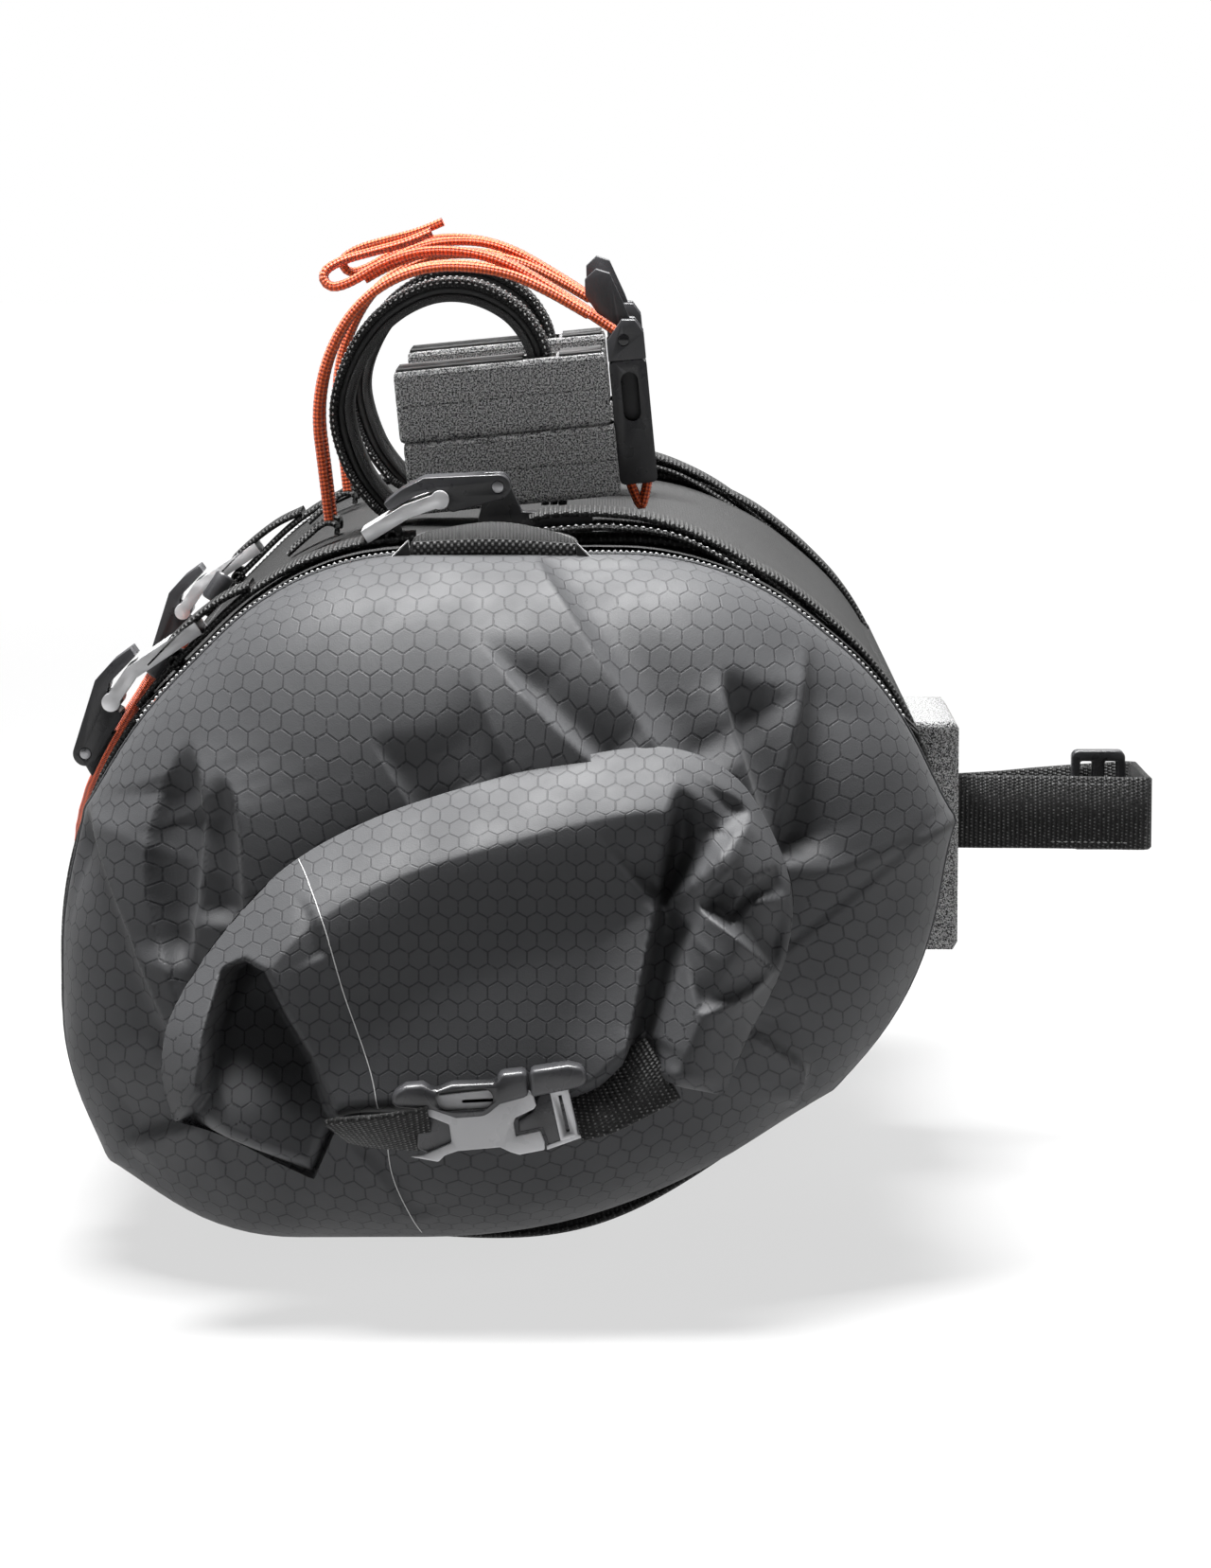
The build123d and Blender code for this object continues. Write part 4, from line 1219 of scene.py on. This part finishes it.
STRAP_TAIL = [(9, -36.4), (16, -35.2), (26, -35.1), (38, -36.3), (50, -40), (64, -47.6), (80, -61),
              (95, -77), (104, -88)]
STRAP_KEEPER = [(-14, -40.9), (10, -39.6), (30, -38.6), (48, -41.6), (66, -52), (84, -66), (100, -84)]
DAISY_TAIL = [(-62, -53.5), (-70, -57.5), (-79, -64.5), (-88, -73.5)]
DAISY_LOOPS = ((-25.8, -40.9), (-81.05, -72.95))


def add_compression_straps():
    for end, side in ENDS:
        y = side * LATCH_Y
        path = along_section((-2, -40), (-86, -84), strap_lift, y, 60)
        strap(f"compression_webbing_{end}", path, WEBBING, 1.7, f"compression_strap_{end}", count=300)
        strap(f"strap_tail_{end}", at_depth(STRAP_TAIL, y), WEBBING, 1.6, count=90)
        keeper = at_depth(STRAP_KEEPER, y)
        strap(f"strap_keeper_{end}", keeper, WEBBING + 3, 1.4, count=90)
        ticks = curve_points(keeper, 90) + (0, -side * 11, 0.9)
        place(stitches(f"keeper_stitches_{end}", ticks, 1.9, 1.1, 0.5, THREAD), "bag", "webbing")


def add_hook_loops():
    for end, side in ENDS:
        y = side * LATCH_Y
        path = along_section((-21, -40), (-88, -86), 2.7, y, 50, clockwise=False)
        strap(f"daisy_webbing_{end}", path, WEBBING, 1.5, "hook_loops", count=120)
        for row, (x, z) in enumerate(DAISY_LOOPS):
            ring = [(x + 1.5 * math.cos(a), y, z + 1.5 * math.sin(a)) for a in np.linspace(0.2, 5.6, 12)]
            strap(f"daisy_loop_{row}_{end}", ring, WEBBING, 0.9, count=30)
        strap(f"daisy_tail_{end}", at_depth(DAISY_TAIL, y), WEBBING, 1.6, count=40)


# ---------------------------------------------------------------- hard parts from the frame
def softened(node, width, material):
    """The node's own shape with its edges rounded."""
    name = f"{node}_shape"
    data = bpy.data.meshes.new(name)
    with editing(nodes[node].data, data) as mesh:
        bmesh.ops.remove_doubles(mesh, verts=mesh.verts, dist=1e-6)
        bmesh.ops.dissolve_limit(mesh, angle_limit=math.radians(1), verts=mesh.verts, edges=mesh.edges)
    data.materials.clear()
    data.materials.append(material)
    piece = bpy.data.objects.new(name, data)
    scene.collection.objects.link(piece)
    return rounded(piece, width, angle=40) if width else piece


def widened(piece, by):
    """The piece with each side that faces across Y moved outwards."""
    with editing(piece.data) as mesh:
        moves = []
        for vertex in mesh.verts:
            normals = []
            for face in vertex.link_faces:
                if abs(face.normal.y) < 0.5 and all(face.normal.dot(n) < 0.99 for n in normals):
                    normals.append(face.normal.copy())
            share = 1 + (normals[0].dot(normals[1]) if len(normals) == 2 else 0)
            kept = 0 < len(normals) < 3 and share > 0.3
            moves.append(sum(normals, Vector()) / share * by * MM if kept else Vector())
        for vertex, move in zip(mesh.verts, moves):
            vertex.co += move
    return piece


def add_hard_parts():
    """Latches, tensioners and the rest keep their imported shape, with rounded edges."""
    shapes = [("ladder_lock", 0.6, BLACK, "black_plastic"),
              ("latch_pins", 0.2, STEEL, "steel"),
              ("bungee_ends", 0.8, BLACK, "black_plastic")]
    for end, _ in ENDS:
        shapes += [(f"tensioner_female_{end}", 0.9, BLACK, "black_plastic"),
                   (f"tensioner_male_{end}", 0.8, BLACK, "black_plastic"),
                   (f"tensioner_lever_{end}", 1.5, BLACK, "black_plastic"),
                   (f"tensioner_pin_{end}", 0.2, GLOSSY, "steel"),
                   (f"top_latch_base_{end}", 0.4, BLACK, "black_plastic"),
                   (f"left_latch_base_{end}", 0.4, BLACK, "black_plastic"),
                   (f"top_latch_lever_{end}", 0.6, BLACK, "black_plastic"),
                   (f"left_latch_lever_{end}", 0.6, BLACK, "black_plastic")]
        for node in (f"top_hook_{end}", f"left_hook_{end}"):
            piece = widened(softened(node, 0, ALUMINIUM), 0.65)
            place(rounded(piece, 0.25), nodes[node]["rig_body"], "aluminium", node)
    for node, width, material, slot in shapes:
        place(softened(node, width, material), nodes[node]["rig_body"], slot, node)
    nodes["inner_plate"].data.materials.clear()
    nodes["inner_plate"].data.materials.append(BLACK)


def add_loops():
    """The V of cord at each tensioner's foot."""
    foot = STACK_X + SEAT_SHIFT + 5
    route = [(foot - 3.1, -31), (foot - 2.5, -35), (foot - 0.5, -41.4), (foot + 0.5, -41.4),
             (foot + 2.5, -35), (foot + 3.1, -31)]
    for end, side in ENDS:
        line = curve_points(at_depth([leaned(x, z) for x, z in route], side * MOUNT_Y), 60)
        place(tube(f"tensioner_loop_{end}", line, CORD / 2, ORANGE_CORD), "bag", "orange_cord",
              "tensioner_loops")


# ---------------------------------------------------------------- closure buckles
PLATE = [(-20.2, -11.2), (-13.6, -12.4), (-12.1, -10.9), (-9, -9.8), (1.1, -8.9), (3.7, -10.1),
         (5.7, -10.7), (11.7, -9.5), (11.7, -7.8), (10.6, -4.9), (4.8, -6.2), (4.3, -3.2), (4.7, -1.8),
         (9.1, 0.3), (9.7, 1.1), (9.1, 3.4), (7, 6), (-16, 3.5), (-18.7, -0.3), (-11, -3.4), (-10.4, -7.8),
         (-17.3, -10.8)]
SHELL = [(-24.8, 1.7), (-24.2, 4.6), (-21.3, 6.3), (-17.3, 6.6), (-14.4, 4.9), (-10.4, 6.6), (0, 6.9),
         (1.1, 9.2), (7.4, 9.8), (8.0, 3.6), (1.1, 1.7), (-2.4, -1.2), (-9.3, -1.7), (-15, 0.3), (-23, 0.9)]
BACKING = [(-18.6, 3), (-18.6, -9.5), (-16, -10.6), (3, -8.8), (3.4, 3)]
GRIP = [(8.5, 3.4), (8.1, 9.9), (17.2, 11.3), (20.9, 10.7), (22, 7.5), (20.6, 5.8)]
TONGUE = [(5.4, -2.8), (9, -0.4), (10.4, 3.6), (14.5, 4.2), (17, -7.6), (12.6, -8.6), (11.2, -4.4),
          (5.6, -5.6)]
BAR = [(12.9, 4.6), (17.2, 5.5), (19.8, -6), (15.5, -7.4)]
BAR_SLOT = [(14.9, 3.6), (15.7, 3.8), (17.7, -5.0), (16.9, -5.2)]
RAIL = [(12.2, -8.5), (21.8, -5.2), (21.8, -6.2), (12.2, -9.6)]


def buckle_prism(name, outline, near, deep, material, side, bevel):
    """A prism in the buckle's plane, from near to deep behind the buckle's front."""
    x0, y0, z0 = BUCKLE
    moved = [(x0 + x, z0 + z) for x, z in outline]
    return prism(name, moved, side * (y0 - near), side * (y0 + deep), material, bevel)


def stadium(cx, cz, length, height, turn, count=10):
    """Outline of a rounded slot."""
    points = []
    for sign in (1, -1):
        for k in range(count + 1):
            a = -math.pi / 2 + math.pi * k / count
            x = sign * ((length - height) / 2 + height / 2 * math.cos(a))
            z = sign * height / 2 * math.sin(a)
            points.append((cx + x * math.cos(turn) - z * math.sin(turn),
                           cz + x * math.sin(turn) + z * math.cos(turn)))
    return points


# the path and the direction of the width of each closure webbing, from the buckle outwards
WEBBING_LEFT = [(-15.5, -0.6, -4.6), (-21, -0.6, -5.2), (-29, 0.8, -5.8), (-38, 4.5, -6.2)]
ACROSS_LEFT = [(0, -0.6, 0.8), (0, -0.66, 0.75), (0, -0.75, 0.6), (0, -0.85, 0.42)]
WEBBING_RIGHT = [(18.6, 0.6, -0.4), (25, 0.6, 1.6), (32, 1, 5.2), (40, 2.5, 9.4)]
ACROSS_RIGHT = [(0.12, -0.55, -0.8), (0.2, -0.5, -0.84), (0.4, -0.35, -0.82), (0.56, -0.3, -0.78)]


def add_closure_female(end, side):
    shell = cut(buckle_prism(f"closure_shell_{end}", SHELL, 4.6, 4.5, BLACK, side, 1.2),
                buckle_prism("window", stadium(-7.2, 2.9, 13.4, 5.0, 0.06), 5.5, -1.6, BLACK, side, 0))
    backing = buckle_prism(f"closure_backing_{end}", BACKING, 1.0, 4.0, BLACK, side, 0.6)
    # the plate's light grey is a painted reflection
    plate = buckle_prism(f"closure_plate_{end}", PLATE, 2.6, -0.8, REFLECTION_GREY, side, 0.35)
    female = joined(f"closure_shell_{end}", [shell, backing, plate])
    place(female, "bag", "buckle_plastic", f"closure_female_{end}")


def add_closure_male(end, side):
    # the bar's light grey is a painted reflection
    bar = cut(buckle_prism(f"closure_bar_{end}", BAR, 2.7, 0.5, REFLECTION_GREY, side, 0.3),
              buckle_prism("slot", BAR_SLOT, 4, 3, BLACK, side, 0))
    grip = buckle_prism(f"closure_grip_{end}", GRIP, 4.6, 4.5, BLACK, side, 1.3)
    tongue = buckle_prism(f"closure_tongue_{end}", TONGUE, 1.6, 3.0, BLACK, side, 0.4)
    # the rail's light grey is a painted reflection
    rail = buckle_prism(f"closure_rail_{end}", RAIL, 2.0, 1.0, REFLECTION_GREY, side, 0.2)
    prong = buckle_prism(f"closure_prong_{end}", stadium(-4, 2.4, 9.5, 2.4, 0.05), 2.6, 0.5, GLOSSY, side,
                         0.8)
    male = joined(f"closure_grip_{end}", [grip, tongue, bar, rail, prong])
    place(male, f"closure_{end}", "buckle_plastic", f"closure_male_{end}")


def add_closures():
    for end, side in ENDS:
        add_closure_female(end, side)
        add_closure_male(end, side)
        strap(f"closure_webbing_left_{end}", side_of(np.array(WEBBING_LEFT) + BUCKLE, side), 15, 1.7,
              f"closure_strap_left_{end}", across=side_of(ACROSS_LEFT, side))
        right = strap(f"closure_webbing_right_{end}", side_of(np.array(WEBBING_RIGHT) + BUCKLE, side), 17,
                      1.8,
                      f"closure_strap_right_{end}", across=side_of(ACROSS_RIGHT, side))
        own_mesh(right)


# ---------------------------------------------------------------- rear strap
def add_rear():
    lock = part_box("ladder_lock")
    path = [(108, -24, -124.5), (125, -24, -125), (150, -24, -125.2), (172, -24, -125.6),
            (176.6, -22.5, -125.7), (177, -18, -125.8), (177, 0, -126.2), (177, 18, -126.6),
            (176.6, 22.5, -126.8), (172, 24, -127), (150, 24, -128.6), (125, 24, -131), (108, 24, -132)]
    strap("rear_webbing", path, WEBBING, 1.8, "rear_strap", across=(0, 0, 1), count=220)
    for row, height in enumerate((-8, 8)):
        line = curve_points(path[2:4], 20) + (0, -1.0, height)
        place(stitches(f"rear_stitches_{row}", line, 1.8, 1.2, 0.45, DARK_THREAD), "bag", "webbing")
    middle = (lock[0] + lock[1]) / 2 / MM
    tail_y = lock[1].y / MM + 0.95
    drop = [(middle.x - 1, -1), (150, -1.6), (138, -2.4), (128, -3)]
    tail = ribbon("rear_tail", [(x, tail_y, middle.z + z) for x, z in drop], (0, 0, 1), WEBBING, 1.4, STRAP)
    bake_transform(tail)
    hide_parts("rear_strap_tail")
    add_rear_pad()


def add_rear_pad():
    """The foam pad: flat towards the frame tube, hollowed behind to lie on the bag."""
    front, half, top, bottom = 124.4, 32, -99.5, -162
    rows = columns = 34
    ys, zs = np.linspace(-half, half, columns), np.linspace(top, bottom, rows)
    points = []
    for layer in (0, 1):
        for z in zs:
            for y in ys:
                edge = min(half - abs(y), top - z, z - bottom)
                if layer == 0:
                    x = front - 1.4 * (1 - round_edge(edge, 1.6))
                else:
                    x = on_section(100, z, 0.5)[0] + 0.2
                    x = min(max(x, front - 22), front - 4)
                points.append((x, y, z))
    count = rows * columns
    faces = grid_faces(rows, columns, flip=True) + grid_faces(rows, columns, first=count)
    border = ([(0, c) for c in range(columns)] + [(r, columns - 1) for r in range(1, rows)]
              + [(rows - 1, c) for c in range(columns - 2, -1, -1)] + [(r, 0) for r in range(rows - 2, 0,
                                                                                             -1)])
    ids = [r * columns + c for r, c in border]
    faces += [(a, b, b + count, a + count) for a, b in zip(ids, ids[1:] + ids[:1])]
    pad = tidy_normals(mesh_object("rear_foam_pad", points, faces, material=FOAM))
    place(pad, "bag", "foam", "rear_pad")


# ---------------------------------------------------------------- front bungee
def add_bungee():
    def on_front(radius, angle, y):
        turn = math.radians(angle)
        return -8.7 - radius * math.cos(turn), y, -146.1 + radius * math.sin(turn)

    half = [on_front(104.6, 40, -107), on_front(104.4, 27, -104), on_front(104.6, 15, -88),
            on_front(104.2, 6, -60),
            on_front(103.6, 1, -25)]
    route = half + [(x, -y, z) for x, y, z in reversed(half)]
    piece, line = round_cord("front_elastic", route, BUNGEE, ORANGE_ELASTIC)
    place(piece, "bag", "orange_elastic", "front_bungee")


add_camera()
for light_name, settings in LIGHTS.items():
    add_light(light_name, *settings)
add_surroundings()
add_floor()
add_cords()
ends = make_ends()
make_tube()
rolls = make_rolls()
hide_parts("roll_stiffeners")
add_seams()
add_back_panel()
add_sleeves()
add_foam()
add_bar_straps()
add_anchors()
add_compression_straps()
add_hook_loops()
add_hard_parts()
add_loops()
add_closures()
add_rear()
add_bungee()
